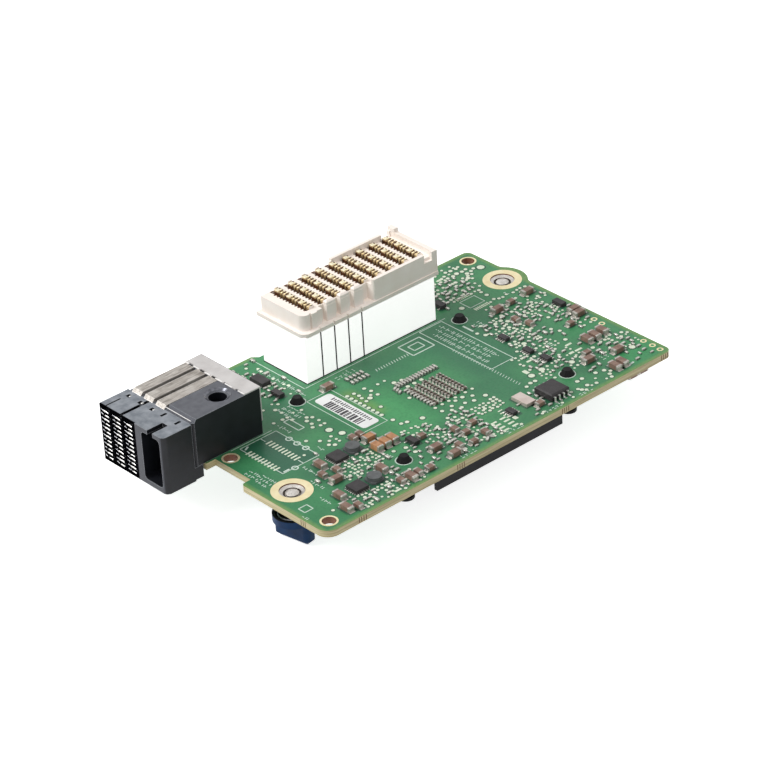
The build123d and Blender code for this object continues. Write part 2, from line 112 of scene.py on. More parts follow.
# %% Helpers for finishes
def linear(code):
    """The linear values of a hex colour."""
    channels = [int(code[i:i + 2], 16) / 255 for i in (1, 3, 5)]
    return [c / 12.92 if c <= 0.04045 else ((c + 0.055) / 1.055) ** 2.4 for c in channels] + [1.0]


def connect(owner, source, target):
    """Links an output to an input. A node stands for its first output."""
    owner.node_tree.links.new(source.outputs[0] if hasattr(source, "outputs") else source, target)


def add(owner, kind, settings):
    """Adds a node to a material or a world. A word that names a field sets it, and the rest are inputs.
    A node or an output given for an input is linked to it, and anything else is its value."""
    made = owner.node_tree.nodes.new("ShaderNode" + kind)
    for name, value in settings.items():
        if isinstance(name, str) and hasattr(made, name):
            setattr(made, name, value)
        elif isinstance(value, (bpy.types.Node, bpy.types.NodeSocket)):
            connect(owner, value, made.inputs[name])
        else:
            made.inputs[name].default_value = value
    return made


def shader_of(material):
    return material.node_tree.nodes["Principled BSDF"]


def blank(name, roughness, metallic=0.0):
    """A new material, and the object's own coordinates to hang patterns on."""
    material = bpy.data.materials.new(name)
    material.use_nodes = True
    shader_of(material).inputs["Roughness"].default_value = roughness
    shader_of(material).inputs["Metallic"].default_value = metallic
    return material, add(material, "TexCoord", {}).outputs["Object"]


def colour_of(material):
    """The output that colours a material now."""
    return shader_of(material).inputs["Base Color"].links[0].from_socket


def recolour(material, colour):
    connect(material, colour, shader_of(material).inputs["Base Color"])


def two_tone(material, place, dark, light, patch, contrast=0.5):
    """A colour that drifts between two tones in patches of the given size in millimetres."""
    noise = add(material, "TexNoise", {"Scale": 1000 / patch, "Detail": 3.0, "Vector": place})
    steps = add(material, "MapRange", {"From Min": 0.5 - contrast / 2, "From Max": 0.5 + contrast / 2,
                                       "Value": noise})
    return add(material, "Mix", {"data_type": "RGBA", 0: steps, 6: linear(dark), 7: linear(light)}).outputs[2]


def grain(material, place, size, height, stretch=(1, 1, 1)):
    """A fine relief: grains of the given size and height in millimetres, drawn out along an axis."""
    mapped = add(material, "Mapping", {"Scale": stretch, "Vector": place})
    noise = add(material, "TexNoise", {"Scale": 1000 / size, "Detail": 2.0, "Vector": mapped})
    bump = add(material, "Bump", {"Strength": 0.6, "Distance": height * MM, "Height": noise})
    connect(material, bump, shader_of(material).inputs["Normal"])
    return noise


def uneven_gloss(material, source, smooth, rough):
    """Roughness that follows a pattern between two values."""
    follow = add(material, "MapRange", {"From Min": 0.3, "From Max": 0.7, "To Min": smooth, "To Max": rough,
                                        "Value": source})
    connect(material, follow, shader_of(material).inputs["Roughness"])


def looks_up(material):
    """One on faces that look up and nought on the others."""
    facing = add(material, "SeparateXYZ", {"Vector": add(material, "NewGeometry", {}).outputs["Normal"]})
    return add(material, "Math", {"operation": "GREATER_THAN", 0: facing.outputs["Z"], 1: 0.5})


def layer(material, under, over, weight, strength=1.0):
    """Lays one colour over another where a weight says so. Each colour is a hex code or an output."""
    amount = add(material, "Math", {"operation": "MULTIPLY", 0: weight, 1: strength})
    under, over = [linear(colour) if isinstance(colour, str) else colour for colour in (under, over)]
    return add(material, "Mix", {"data_type": "RGBA", 0: amount, 6: under, 7: over}).outputs[2]


def sharp_edge_mask(material, width):
    """Near one along sharp edges: there a normal taken over a rounded corner leaves the face's own normal."""
    rounded = add(material, "Bevel", {"samples": 6, "Radius": width * MM})
    face = add(material, "NewGeometry", {}).outputs["True Normal"]
    same = add(material, "VectorMath", {"operation": "DOT_PRODUCT", 0: rounded, 1: face})
    return add(material, "MapRange", {"From Min": 0.99, "From Max": 0.86, "Value": same.outputs["Value"]})


def coat_nodes(material, names):
    """Puts a material on every slot of some nodes of the frame."""
    for name in names:
        for place in nodes[name].material_slots:
            place.material = material


def numbered(name, count):
    """The names of nodes that differ only in their number."""
    return ["%s_%d" % (name, i + 1) for i in range(count)]


def finish(name, dark, light, patch, smooth, rough, size, height, names=(), metallic=0.0, stretch=(1, 1, 1)):
    """Two tones in patches, an uneven gloss and a relief of grains, put on some nodes of the frame."""
    material, place = blank(name, (smooth + rough) / 2, metallic)
    recolour(material, two_tone(material, place, dark, light, patch))
    uneven_gloss(material, grain(material, place, size, height, stretch), smooth, rough)
    coat_nodes(material, names)
    return material


# %% [markdown]
# ## Solder mask and laminate
# The board is glass cloth in epoxy, about 1.6 mm thick. Its faces carry a thin green lacquer, the
# solder mask, glossy and a little uneven, darker where there is no copper under it. Its sawn edge
# shows the bare laminate, yellowish and layered. One material does both: the face's direction
# chooses between them.

# %% Solder mask over laminate
def inside(material, axes, centre, half, soft):
    """One inside a rectangle on the board and nought outside, with a soft rim, all in millimetres."""
    amounts = []
    for axis, middle, reach in zip("XY", centre, half):
        offset = add(material, "Math", {"operation": "SUBTRACT", 0: axes.outputs[axis], 1: middle * MM})
        size = add(material, "Math", {"operation": "ABSOLUTE", 0: offset})
        amounts.append(add(material, "MapRange", {
            "From Min": (reach - soft) * MM, "From Max": (reach + soft) * MM, "To Min": 1.0, "To Max": 0.0,
            "Value": size}))
    return add(material, "Math", {"operation": "MULTIPLY", 0: amounts[0], 1: amounts[1]})


board, place = blank("solder_mask_over_glass_epoxy", 0.36)
shader_of(board).inputs["Specular IOR Level"].default_value = 0.35
axes = add(board, "SeparateXYZ", {"Vector": place})
mask = two_tone(board, place, "#33774f", "#47935f", 16.0, 0.35)
# Each patch of another green: its middle, half its sides, how soft its rim is, the tone and its strength.
for centre, half, soft, tone, strength in (
        ((7.5, 13.0), (5.0, 6.8), 0.3, "#225a45", 0.8),
        ((-2.0, -8.0), (6.0, 9.0), 3.0, "#2f8050", 0.6),
        ((14.0, -6.0), (8.5, 10.0), 2.5, "#2a6a49", 0.5),
        ((63.5, 16.0), (7.5, 13.0), 2.5, "#30714f", 0.8),
        ((57.5, -2.0), (5.0, 5.5), 2.0, "#2f6f4e", 0.6),
        ((35.5, 6.0), (4.5, 9.0), 3.0, "#4da567", 0.8),
        ((48.0, 22.0), (12.0, 4.5), 2.0, "#2f7c54", 0.5),
        ((18.5, 26.0), (5.0, 5.0), 2.0, "#257a50", 0.6),
        ((32.9, 15.0), (1.5, 6.0), 1.2, "#7fa24f", 0.55),
        ((86.0, 4.0), (5.0, 3.0), 1.5, "#388f58", 0.7),
        ((88.0, -12.5), (6.0, 4.0), 2.5, "#3a9a5c", 0.7),
        ((77.0, 13.0), (6.5, 8.0), 3.0, "#2c6b49", 0.5),
        ((24.5, 34.0), (4.5, 6.0), 2.5, "#2b6a48", 0.5),
        ((79.5, 37.5), (4.0, 6.5), 2.0, "#4c8f5a", 0.5)):
    mask = layer(board, mask, tone, inside(board, axes, centre, half, soft), strength)

# Near the sawn edges the inner copper stops too, and light comes through the laminate from the side,
# so the lacquer looks lighter and yellower there.
bulk = inside(board, axes, (43.85, 14.85), (48.7, 31.4), 0.5)
mask = layer(board, "#6f9a58", mask, bulk)

# Copper tracks and small voids show as a fine speckle, drawn at about 0.7 mm so that it can be seen.
speckle = add(board, "TexVoronoi", {"Scale": 1000 / 0.7, "Vector": place})
thin = add(board, "MapRange", {"From Min": 0.0, "From Max": 0.55, "To Min": 0.3, "To Max": 0.0,
                               "Value": speckle})
mask = layer(board, mask, "#23593f", thin)

# The sawn edge shows the cloth as streaks along the board, and drilled holes are lined with copper.
drawn = add(board, "Mapping", {"Scale": (0.03, 0.03, 1.0), "Vector": place})
layers = add(board, "TexNoise", {"Scale": 1000 / 0.35, "Detail": 2.0, "Vector": drawn})
cloth = add(board, "MapRange", {"From Min": 0.35, "From Max": 0.65, "Value": layers})
edge = layer(board, "#afa279", "#cfc49a", cloth)
bores = inside(board, axes, (44.95, 14.3), (47.95, 31.2), 0.1)
near_bores = inside(board, axes, (-2.3, -3.75), (2.3, 12.25), 0.1)
edge = layer(board, edge, "#8a5a42", add(board, "Math", {"operation": "MAXIMUM", 0: bores, 1: near_bores}))
facing = add(board, "SeparateXYZ", {"Vector": add(board, "NewGeometry", {}).outputs["Normal"]})
upright = add(board, "Math", {"operation": "ABSOLUTE", 0: facing.outputs["Z"]})
on_face = add(board, "Math", {"operation": "GREATER_THAN", 0: upright, 1: 0.5})
recolour(board, layer(board, edge, mask, on_face))
uneven_gloss(board, grain(board, place, 0.5, 0.012), 0.3, 0.5)
coat_nodes(board, ["circuit_board"])
print("material:", board.name)

# %% [markdown]
# ## Mouldings
# The connectors, knobs and chips are mouldings. Each keeps a trace of how the melt ran in: a slow
# drift of tone and a very fine relief from the mould's spark-eroded walls.

# %% Moulded finishes
wafers = numbered("mezz_wafer", 4)
# Liquid crystal polymer: cream, matt, with faint flow marks.
cream = finish("cream_liquid_crystal_polymer", "#f2e8df", "#fbf4ee", 5.0, 0.5, 0.65, 0.25, 0.01,
               ["mezz_housing"])
shader_of(cream).inputs["Emission Color"].default_value = linear("#fff0e2")
# A painted glow: the faces that look up give off a faint light of their own, so that they look lit.
painted_top_glow = add(cream, "MapRange", {"To Min": 0.0, "To Max": 0.2, "Value": looks_up(cream)})
connect(cream, painted_top_glow, shader_of(cream).inputs["Emission Strength"])
# The lower block is the same polymer in its natural near-white.
white = finish("natural_liquid_crystal_polymer", "#f4f4f2", "#fbfbfa", 6.0, 0.45, 0.6, 0.25, 0.008,
               wafers + ["mezz_body"])
# A painted glow: the whole body gives off light of its own, so its walls hardly darken in shade.
shader_of(white).inputs["Emission Color"].default_value = (1.0, 0.985, 0.99, 1.0)
shader_of(white).inputs["Emission Strength"].default_value = 0.6
# Glass-filled black polymer: the fibres near the skin give it a dull grey sheen.
black = finish("black_glass_filled_polymer", "#101116", "#1a1c22", 3.0, 0.34, 0.5, 0.12, 0.008,
               ["backplane_housing", "guide_module"] + numbered("backplane_wafer", 3))
# The face that meets the other half, the line behind which the top is darker, and the top's level.
MATING_FACE, BACK_LINE, TOP_LEVEL = -15.9, -8.2, 9.5


def sheen_wear_and_shade(material, top_dark, top_light, edge, width):
    """Paints a sheen on the tops, wear and a highlight on the edges, and shade on the contact field."""
    under = colour_of(material)
    place = add(material, "TexCoord", {}).outputs["Object"]
    axes = add(material, "SeparateXYZ", {"Vector": place})
    behind = add(material, "Math", {"operation": "GREATER_THAN", 0: axes.outputs["X"], 1: BACK_LINE * MM})
    # Painted sheen: the high faces that look up are made grey, as if they mirrored the bright room, and
    # darker behind the back line.
    top = layer(material, two_tone(material, place, top_dark, top_light, 1.6, 0.4), "#4a4a51", behind, 0.75)
    high = add(material, "Math", {"operation": "GREATER_THAN", 0: axes.outputs["Z"], 1: TOP_LEVEL * MM})
    sheen_on_tops = add(material, "Math", {"operation": "MULTIPLY", 0: looks_up(material), 1: high})
    colour = layer(material, under, top, sheen_on_tops)
    front = add(material, "Math", {"operation": "LESS_THAN", 0: axes.outputs["X"],
                                   1: (MATING_FACE + 0.1) * MM})
    colour = layer(material, colour, "#4a4c54", front, 0.7)
    # Partly wear and partly a painted highlight: the sharp edges are made bright.
    colour = layer(material, colour, edge, sharp_edge_mask(material, width), 0.75)
    # Painted shade: the field round the contacts, where the openings lie in shade, is made blacker and dull.
    shaded_field = inside(material, axes, (MATING_FACE, 36.2), (0.3, 5.9), 0.05)
    recolour(material, layer(material, colour, "#050507", shaded_field))
    dull = add(material, "MapRange", {"To Min": 0.3, "To Max": 0.0, "Value": shaded_field})
    connect(material, dull, shader_of(material).inputs["Specular IOR Level"])


sheen_wear_and_shade(black, "#737981", "#9ba0a7", "#a3a7ad", 0.24)
# Nylon push pins: moulded plain, deep black with hardly any shine.
nylon = finish("black_nylon", "#040405", "#0a0a0b", 2.0, 0.45, 0.6, 0.2, 0.01, numbered("push_pin", 4))
shader_of(nylon).inputs["Specular IOR Level"].default_value = 0.2
# Nylon dyed in the mass for the knobs: a deep blue with a satin skin.
BLUE = ("#0d2648", "#163c66")
blue = finish("blue_nylon", *BLUE, 4.0, 0.35, 0.5, 0.3, 0.015, ["near_knob", "far_knob"])
shader_of(blue).inputs["Specular IOR Level"].default_value = 0.15
# Epoxy moulding compound: dark warm grey, dulled by silica.
epoxy = finish("epoxy_moulding_compound", "#252224", "#383436", 1.2, 0.5, 0.7, 0.1, 0.008,
               ["memory_chip", "interface_chip", "transistors", "drivers"] + numbered("power_controller", 2))
# Sintered ferrite sprayed with grey lacquer: even and matt.
finish("lacquered_ferrite", "#4b4e4f", "#686b6c", 1.5, 0.45, 0.65, 0.2, 0.02, numbered("inductor", 2))
# Silicone filled with ceramic powder and cast in sheets: a dull, soft grey.
finish("silicone_gap_pad", "#8d8f8c", "#a5a7a3", 2.0, 0.7, 0.85, 0.3, 0.02, ["thermal_pad"])
print("mouldings done")

# %% [markdown]
# ## Metals
# Plated and rolled metals differ in tint and in the direction of their scratches. A metal keeps the
# shader's own index, and its look comes from the tint, the roughness and a drawn-out grain.

# %% Metal finishes
ALONG_X = (0.08, 1, 1)
# Immersion gold on copper: thin, pale and rather matt.
gold_pad = finish("immersion_gold", "#ecdcac", "#fbf0cb", 2.0, 0.45, 0.6, 0.15, 0.006, ["seat_rings"], 0.55)
# Hard gold plated over nickel on the contact blades: smoother and a warmer yellow.
gold = finish("hard_gold_plating", "#e6c888", "#fff1ca", 0.8, 0.22, 0.4, 0.2, 0.006, ["mezz_contacts"], 0.7)
axes = add(gold, "SeparateXYZ", {"Vector": add(gold, "TexCoord", {}).outputs["Object"]})
# Deep in the slots the blades mirror brown resin, and only their upper ends catch the light.
deep = add(gold, "MapRange", {"From Min": 16.2 * MM, "From Max": 15.2 * MM, "Value": axes.outputs["Z"]})
recolour(gold, layer(gold, colour_of(gold), "#6b4218", deep))
# Turned steel plated with bright nickel: it mirrors the room with a faint warm cast.
finish("bright_nickel_plating", "#b9b4ae", "#dcd8d4", 1.0, 0.2, 0.38, 0.2, 0.006,
       ["near_screw", "far_screw", "near_ferrule", "far_ferrule"], 1.0)
# Tin plated on the springs of the black connector and on the leads: whiter than nickel, softly shiny.
tin = finish("tin_plating", "#c9c8c4", "#f2f1ee", 0.6, 0.25, 0.45, 0.15, 0.01,
             ["backplane_contacts", "memory_leads"], 0.85)
# Stamped nickel silver shields, stained and streaked along the rolling direction.
shield = finish("rolled_nickel_silver", "#a29b93", "#cdc8c1", 2.0, 0.4, 0.6, 0.3, 0.03,
                numbered("shield_rib", 3), 0.6, ALONG_X)
place = add(shield, "TexCoord", {}).outputs["Object"]
drawn = add(shield, "Mapping", {"Scale": (0.12, 1.0, 1.0), "Vector": place})
stain = add(shield, "TexNoise", {"Scale": 1000 / 0.45, "Detail": 3.0, "Vector": drawn})
dark = add(shield, "MapRange", {"From Min": 0.5, "From Max": 0.68, "To Max": 0.65, "Value": stain})
colour = layer(shield, colour_of(shield), "#6d655c", dark)
recolour(shield, layer(shield, colour, "#f2eeea", sharp_edge_mask(shield, 0.2), 0.8))
# Stainless strip, rolled and brushed: satin, with a sheen drawn out along Y.
finish("satin_stainless_steel", "#c4c0be", "#dbd8d6", 3.0, 0.42, 0.6, 0.2, 0.01,
       ["stiffener_plate"], 0.5, (1, 0.08, 1))
# Extruded aluminium, anodised and dyed black: a matt skin with faint lines along X.
finish("black_anodised_aluminium", "#0b0a0d", "#17161b", 3.0, 0.38, 0.55, 0.2, 0.012, ["heat_sink"], 0.6,
       ALONG_X)
# Cold-drawn spring wire: mid grey with a narrow shine.
wire = finish("spring_wire", "#8b8c90", "#b9babd", 0.8, 0.25, 0.4, 0.3, 0.01,
              ["near_spring", "far_spring"] + numbered("pin_spring", 4), 1.0)
SCREWS = {"near": (0.0, 0.0), "far": (89.7, 31.7)}
CUP_WALL = 4.3
for side, (x, y) in SCREWS.items():
    # Painted shade: the cup is blue nylon on its outer wall, and is painted near black inside and on every
    # face that looks up, where it lies in shade under the board.
    cup, place = blank(side + "_cup_of_steel_in_blue_nylon", 0.45)
    centred = add(cup, "VectorMath", {"operation": "SUBTRACT", 0: place, 1: (x * MM, y * MM, 0.0)})
    flat = add(cup, "VectorMath", {"operation": "MULTIPLY", 0: centred, 1: (1.0, 1.0, 0.0)})
    radius = add(cup, "VectorMath", {"operation": "LENGTH", 0: flat})
    outer = add(cup, "Math", {"operation": "GREATER_THAN", 0: radius.outputs["Value"], 1: CUP_WALL * MM})
    shade_black = two_tone(cup, place, "#08090b", "#141518", 1.5)
    walls = layer(cup, shade_black, two_tone(cup, place, *BLUE, 4.0), outer)
    recolour(cup, layer(cup, walls, shade_black, looks_up(cup)))
    shader_of(cup).inputs["Specular IOR Level"].default_value = 0.15
    uneven_gloss(cup, grain(cup, place, 0.3, 0.012), 0.35, 0.5)
    coat_nodes(cup, [side + "_spring_cup"])
# Stamped copper lid plated with nickel: a dark, slightly blurred mirror.
finish("nickel_plated_copper_lid", "#8f8f90", "#b1b0ae", 3.0, 0.3, 0.45, 0.3, 0.01, ["processor"], 1.0)
# Drawn steel lid of the crystal: warm and nearly white.
finish("drawn_crystal_lid", "#cbb9b1", "#e2d6ce", 2.0, 0.4, 0.55, 0.15, 0.008, ["crystal"], 0.5)
print("metals done")

# %% [markdown]
# ## Chip capacitors
# A ceramic chip capacitor is a stack of thin layers fired to a brown or buff brick, dipped at both
# ends in silver and tin. The frame holds the bricks; their ends come later as pieces of their own.

# %% Fired ceramic
# The fired bricks are dense and faintly glossy, and their tone depends on the mix of the layers.
finish("fired_brown_ceramic", "#705449", "#9c8071", 1.3, 0.4, 0.6, 0.15, 0.01,
       ["capacitors_large", "capacitors_medium", "underside_capacitors"])
dark_ceramic = finish("fired_dark_ceramic", "#4b3f36", "#75665a", 1.0, 0.4, 0.6, 0.15, 0.01,
                      ["capacitor_array"])
finish("fired_buff_ceramic", "#a8744f", "#cf9a70", 1.3, 0.4, 0.6, 0.15, 0.01, ["capacitors_orange"])

# %% [markdown]
# ## Tools for modelling
# New pieces start from a primitive of the right size, are shaped in edit mode, and are copied where
# they repeat. Operators work on whatever is selected, and the loaded frame is selected when the
# file opens, so each step lets go of everything first.

# %% Helpers for modelling
def let_go():
    """Leaves edit mode and selects nothing."""
    if bpy.context.mode != "OBJECT":
        bpy.ops.object.mode_set(mode="OBJECT")
    bpy.ops.object.select_all(action="DESELECT")


def hold(piece):
    let_go()
    piece.select_set(True)
    bpy.context.view_layer.objects.active = piece


def settle(piece):
    hold(piece)
    bpy.ops.object.transform_apply(location=True, rotation=True, scale=True)


def named(name):
    """Names the piece just added and applies its place and size."""
    piece = bpy.context.object
    piece.name = name
    settle(piece)
    return piece


def block(name, size, centre=(0, 0, 0)):
    """A block of a size in millimetres, ready for edit mode."""
    let_go()
    bpy.ops.mesh.primitive_cube_add(size=1, location=Vector(centre) * MM, scale=Vector(size) * MM)
    return named(name)


def disc(name, radius, height, sides, centre=(0, 0, 0)):
    let_go()
    bpy.ops.mesh.primitive_cylinder_add(vertices=sides, radius=radius * MM, depth=height * MM,
                                        location=Vector(centre) * MM)
    return named(name)


def choose(piece, test, kind="FACE"):
    """Enters edit mode with the faces or edges selected that pass a test on their place and direction."""
    hold(piece)
    bpy.ops.object.mode_set(mode="EDIT")
    bpy.ops.mesh.select_mode(type=kind)
    bpy.ops.mesh.select_all(action="DESELECT")
    bpy.ops.object.mode_set(mode="OBJECT")
    mesh = piece.data
    if kind == "FACE":
        for face in mesh.polygons:
            face.select = test(face.center / MM, face.normal)
    else:
        for edge in mesh.edges:
            ends = [mesh.vertices[i].co / MM for i in edge.vertices]
            edge.select = test((ends[0] + ends[1]) / 2, (ends[1] - ends[0]).normalized())
    bpy.ops.object.mode_set(mode="EDIT")


def above(level):
    """A test for what lies higher than a level in millimetres."""
    return lambda middle, run: middle.z > level


def standing(middle, run):
    """A test for upright edges."""
    return abs(run.z) > 0.9


def open_all(piece):
    """Enters edit mode with everything selected."""
    hold(piece)
    bpy.ops.object.mode_set(mode="EDIT")
    bpy.ops.mesh.select_all(action="SELECT")


def soften(piece, width, test=None, segments=1):
    """Bevels the chosen edges, or all of them."""
    choose(piece, test or (lambda middle, run: True), "EDGE")
    bpy.ops.mesh.bevel(offset=width * MM, segments=segments, affect="EDGES")
    let_go()


def shaped(name, size, centre, width, test=None, segments=1):
    """A block with its chosen edges bevelled."""
    piece = block(name, size, centre)
    soften(piece, width, test, segments)
    return piece


def press_top(piece, *steps):
    """Insets the top once or more, each time by a margin and a height in millimetres."""
    choose(piece, lambda middle, normal: normal.z > 0.9)
    for margin, height in steps:
        bpy.ops.mesh.inset(thickness=margin * MM, depth=height * MM)
    let_go()
    return piece


def face_outward(piece):
    open_all(piece)
    bpy.ops.mesh.normals_make_consistent(inside=False)
    let_go()
    return piece


def apply_last(piece):
    """Makes the newest modifier part of the mesh."""
    hold(piece)
    bpy.ops.object.modifier_apply(modifier=piece.modifiers[-1].name)


def full_place(x, y, z=0.0, turn=0.0, stretch=(1, 1, 1)):
    """Where a copy stands in millimetres, its turn in degrees and its stretch."""
    return x, y, z, turn, stretch


def lay_out(model, name, places):
    """Copies a model to each place and joins the copies. A place may leave out its last values."""
    copies = []
    for place in places:
        x, y, z, turn, stretch = full_place(*place)
        copy = model.copy()
        copy.data = model.data.copy()
        copy.location = Vector((x, y, z)) * MM
        copy.rotation_euler = (0.0, 0.0, math.radians(turn))
        copy.scale = stretch
        bpy.context.collection.objects.link(copy)
        copies.append(copy)
    bpy.data.objects.remove(model)
    let_go()
    for copy in copies:
        copy.select_set(True)
    bpy.context.view_layer.objects.active = copies[0]
    bpy.ops.object.join()
    piece = bpy.context.object
    piece.name = name
    settle(piece)
    print(name, "has", len(places), "copies and", len(piece.data.polygons), "faces")
    return piece


def ring_model(inner, outer, height, sides=28, fall=0.0):
    """A flat ring, or a conical one whose inner edge lies lower by a fall."""
    let_go()
    bpy.ops.mesh.primitive_circle_add(vertices=sides, radius=inner * MM, fill_type="NOTHING",
                                      location=(0.0, 0.0, -fall * MM))
    piece = named("ring")
    open_all(piece)
    bpy.ops.mesh.extrude_edges_move()
    bpy.ops.transform.resize(value=(outer / inner, outer / inner, 1.0))
    bpy.ops.transform.translate(value=(0.0, 0.0, fall * MM))
    face_outward(piece)
    wall = piece.modifiers.new("wall", "SOLIDIFY")
    wall.thickness = height * MM
    wall.offset = 0.0
    apply_last(piece)
    return piece


def dress(piece, material, slot, body="card"):
    """Gives a piece its finish, smooth shading and the body that it moves with. The slot is not used."""
    piece.data.materials.clear()
    piece.data.materials.append(material)
    hold(piece)
    bpy.ops.object.shade_smooth_by_angle(angle=math.radians(35))
    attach(piece, body)
    return piece


def spread(model, name, places, material, slot):
    """Lays out a model and gives the piece its finish."""
    return dress(lay_out(model, name, places), material, slot)


def bricks(name, size, centre, width, places, material, slot, test=None, segments=1):
    """A softened block laid out at some places, as one piece."""
    return spread(shaped("brick", size, centre, width, test, segments), name, places, material, slot)


def centre_of(lo, hi):
    return (lo[0] + hi[0]) / 2, (lo[1] + hi[1]) / 2


def at_heights(spots, *heights):
    return [(x, y, z) for x, y in spots for z in heights]


def solids_of(name):
    """The boxes, in millimetres, of the separate solids in a CAD node, told apart by shared corners."""
    mesh = nodes[name].data
    owner = {}

    def root(key):
        while owner[key] != key:
            owner[key] = owner[owner[key]]
            key = owner[key]
        return key

    keys = [tuple(round(c * 1e6) for c in vertex.co) for vertex in mesh.vertices]
    for key in keys:
        owner.setdefault(key, key)
    for face in mesh.polygons:
        first = root(keys[face.vertices[0]])
        for index in face.vertices[1:]:
            owner[root(keys[index])] = first
            first = root(first)
    groups = {}
    for key in keys:
        groups.setdefault(root(key), set()).add(key)
    return sorted(([min(c[i] for c in corners) / 1000 for i in (0, 1, 2)],
                   [max(c[i] for c in corners) / 1000 for i in (0, 1, 2)]) for corners in groups.values())


print("large capacitors in the frame:", len(solids_of("capacitors_large")))

# %% [markdown]
# ## Tinned ends of the chips
# Each ceramic brick has a metal cap over both ends, and the solder under it runs out a little way
# over its pad. One cap and one pad are modelled as softened blocks and set on every brick. The
# bricks' places are read from the frame.

# %% Caps and pads of the chip capacitors
def end_places(names, share, reach):
    """Places of the caps and of the solder pads under them, for all bricks in some nodes."""
    caps, pads = [], []
    for lo, hi in [box for name in names for box in solids_of(name)]:
        size = [hi[i] - lo[i] for i in (0, 1, 2)]
        middle = [(hi[i] + lo[i]) / 2 for i in (0, 1, 2)]
        along = 0 if size[0] > size[1] else 1
        cap = share * size[along]
        stretch = [size[0] + 0.06, size[1] + 0.06, size[2] + 0.03]
        stretch[along] = cap
        pad_size = [size[0] * 0.95, size[1] * 0.95, 1.0]
        pad_size[along] = 2 * reach
        for side in (-1, 1):
            spot = list(middle)
            spot[along] += side * (size[along] / 2 - cap / 2 + 0.03)
            caps.append((spot[0], spot[1], spot[2] + 0.015, 0.0, stretch))
            spot = list(middle)
            spot[along] += side * (size[along] / 2 + reach * 0.3)
            # The solder of the bricks under the board is out of sight.
            if lo[2] > -0.5:
                pads.append((spot[0], spot[1], 0.0, 0.0, pad_size))
    return caps, pads


# Solder that melted and set again: bright, with soft ripples.
solder = finish("reflowed_solder", "#aeaba4", "#e4e1da", 0.6, 0.25, 0.5, 0.25, 0.015, metallic=0.75)
# Silver fired on the brick and dipped in tin: a warmer and duller grey than the solder.
dull_tin = finish("fired_tin_cap", "#97938c", "#cfcbc4", 0.6, 0.3, 0.5, 0.25, 0.015, metallic=0.7)
large = ["capacitors_large", "capacitors_medium", "capacitors_orange"]
caps, pads = end_places(large + ["underside_capacitors"], 0.17, 0.35)
array_caps, array_pads = end_places(["capacitor_array"], 0.24, 0.2)
bricks("capacitor_ends", (1.0, 1.0, 1.0), (0, 0, 0), 0.08, caps + array_caps, dull_tin, "lead_tin")


def tile_model():
    """A flat pad with rounded corners and a slightly domed top."""
    return press_top(shaped("pad", (1.0, 1.0, 0.06), (0.0, 0.0, 0.02), 0.12, standing, 2), (0.08, 0.02))


spread(tile_model(), "capacitor_pads", pads + array_pads, solder, "lead_tin")

# %% [markdown]
# ## Where there is room
# Hundreds of small things share the board. A list of circles remembers what is taken, so that a new
# one is set down only where nothing else stands.

# %% A list of what is taken
keep_out = []
for name in nodes:
    if name in ("circuit_board", "seat_rings", "mezz_contacts", "backplane_contacts"):
        continue
    for lo, hi in solids_of(name):
        if lo[2] < 0.3 and hi[2] > 0.02:
            keep_out.append((lo[0], hi[0], lo[1], hi[1]))
TOOL_HOLES = [(-2.2, -14.0), (-0.8, 18.6), (90.3, 43.6)]
PIN_HOLES = [(47.1 + i * 23.65, 8.65 + j * 16.85) for i in (-1, 1) for j in (-1, 1)]
SEAT_RADIUS, HOLE_RADIUS = 4.7, 2.1
# Circles that are taken from the start: under the screws' seats and round the holes.
taken = [(x, y, SEAT_RADIUS) for x, y in SCREWS.values()]
taken += [(x, y, HOLE_RADIUS) for x, y in TOOL_HOLES + PIN_HOLES]
BOARD_X, BOARD_Y = (-5.0, 92.9), (-16.9, 46.5)


def room(x, y, radius):
    """Whether a circle on the board is free, and if so, takes it."""
    if not (BOARD_X[0] < x < BOARD_X[1] and BOARD_Y[0] < y < BOARD_Y[1]):
        return False
    if any(x0 - radius < x < x1 + radius and y0 - radius < y < y1 + radius for x0, x1, y0, y1 in keep_out):
        return False
    if any(math.hypot(x - a, y - b) < radius + r for a, b, r in taken):
        return False
    taken.append((x, y, radius))
    return True


print("boxes to keep clear of:", len(keep_out))

# %% [markdown]
# ## Small chips
# Between the large parts lie dozens of chips a millimetre long: a dark or brown body with two
# bright ends. The body and the pair of ends are two models, laid out at the same places. Those that
# stand out are placed one by one, and the crowded areas are filled row by row.

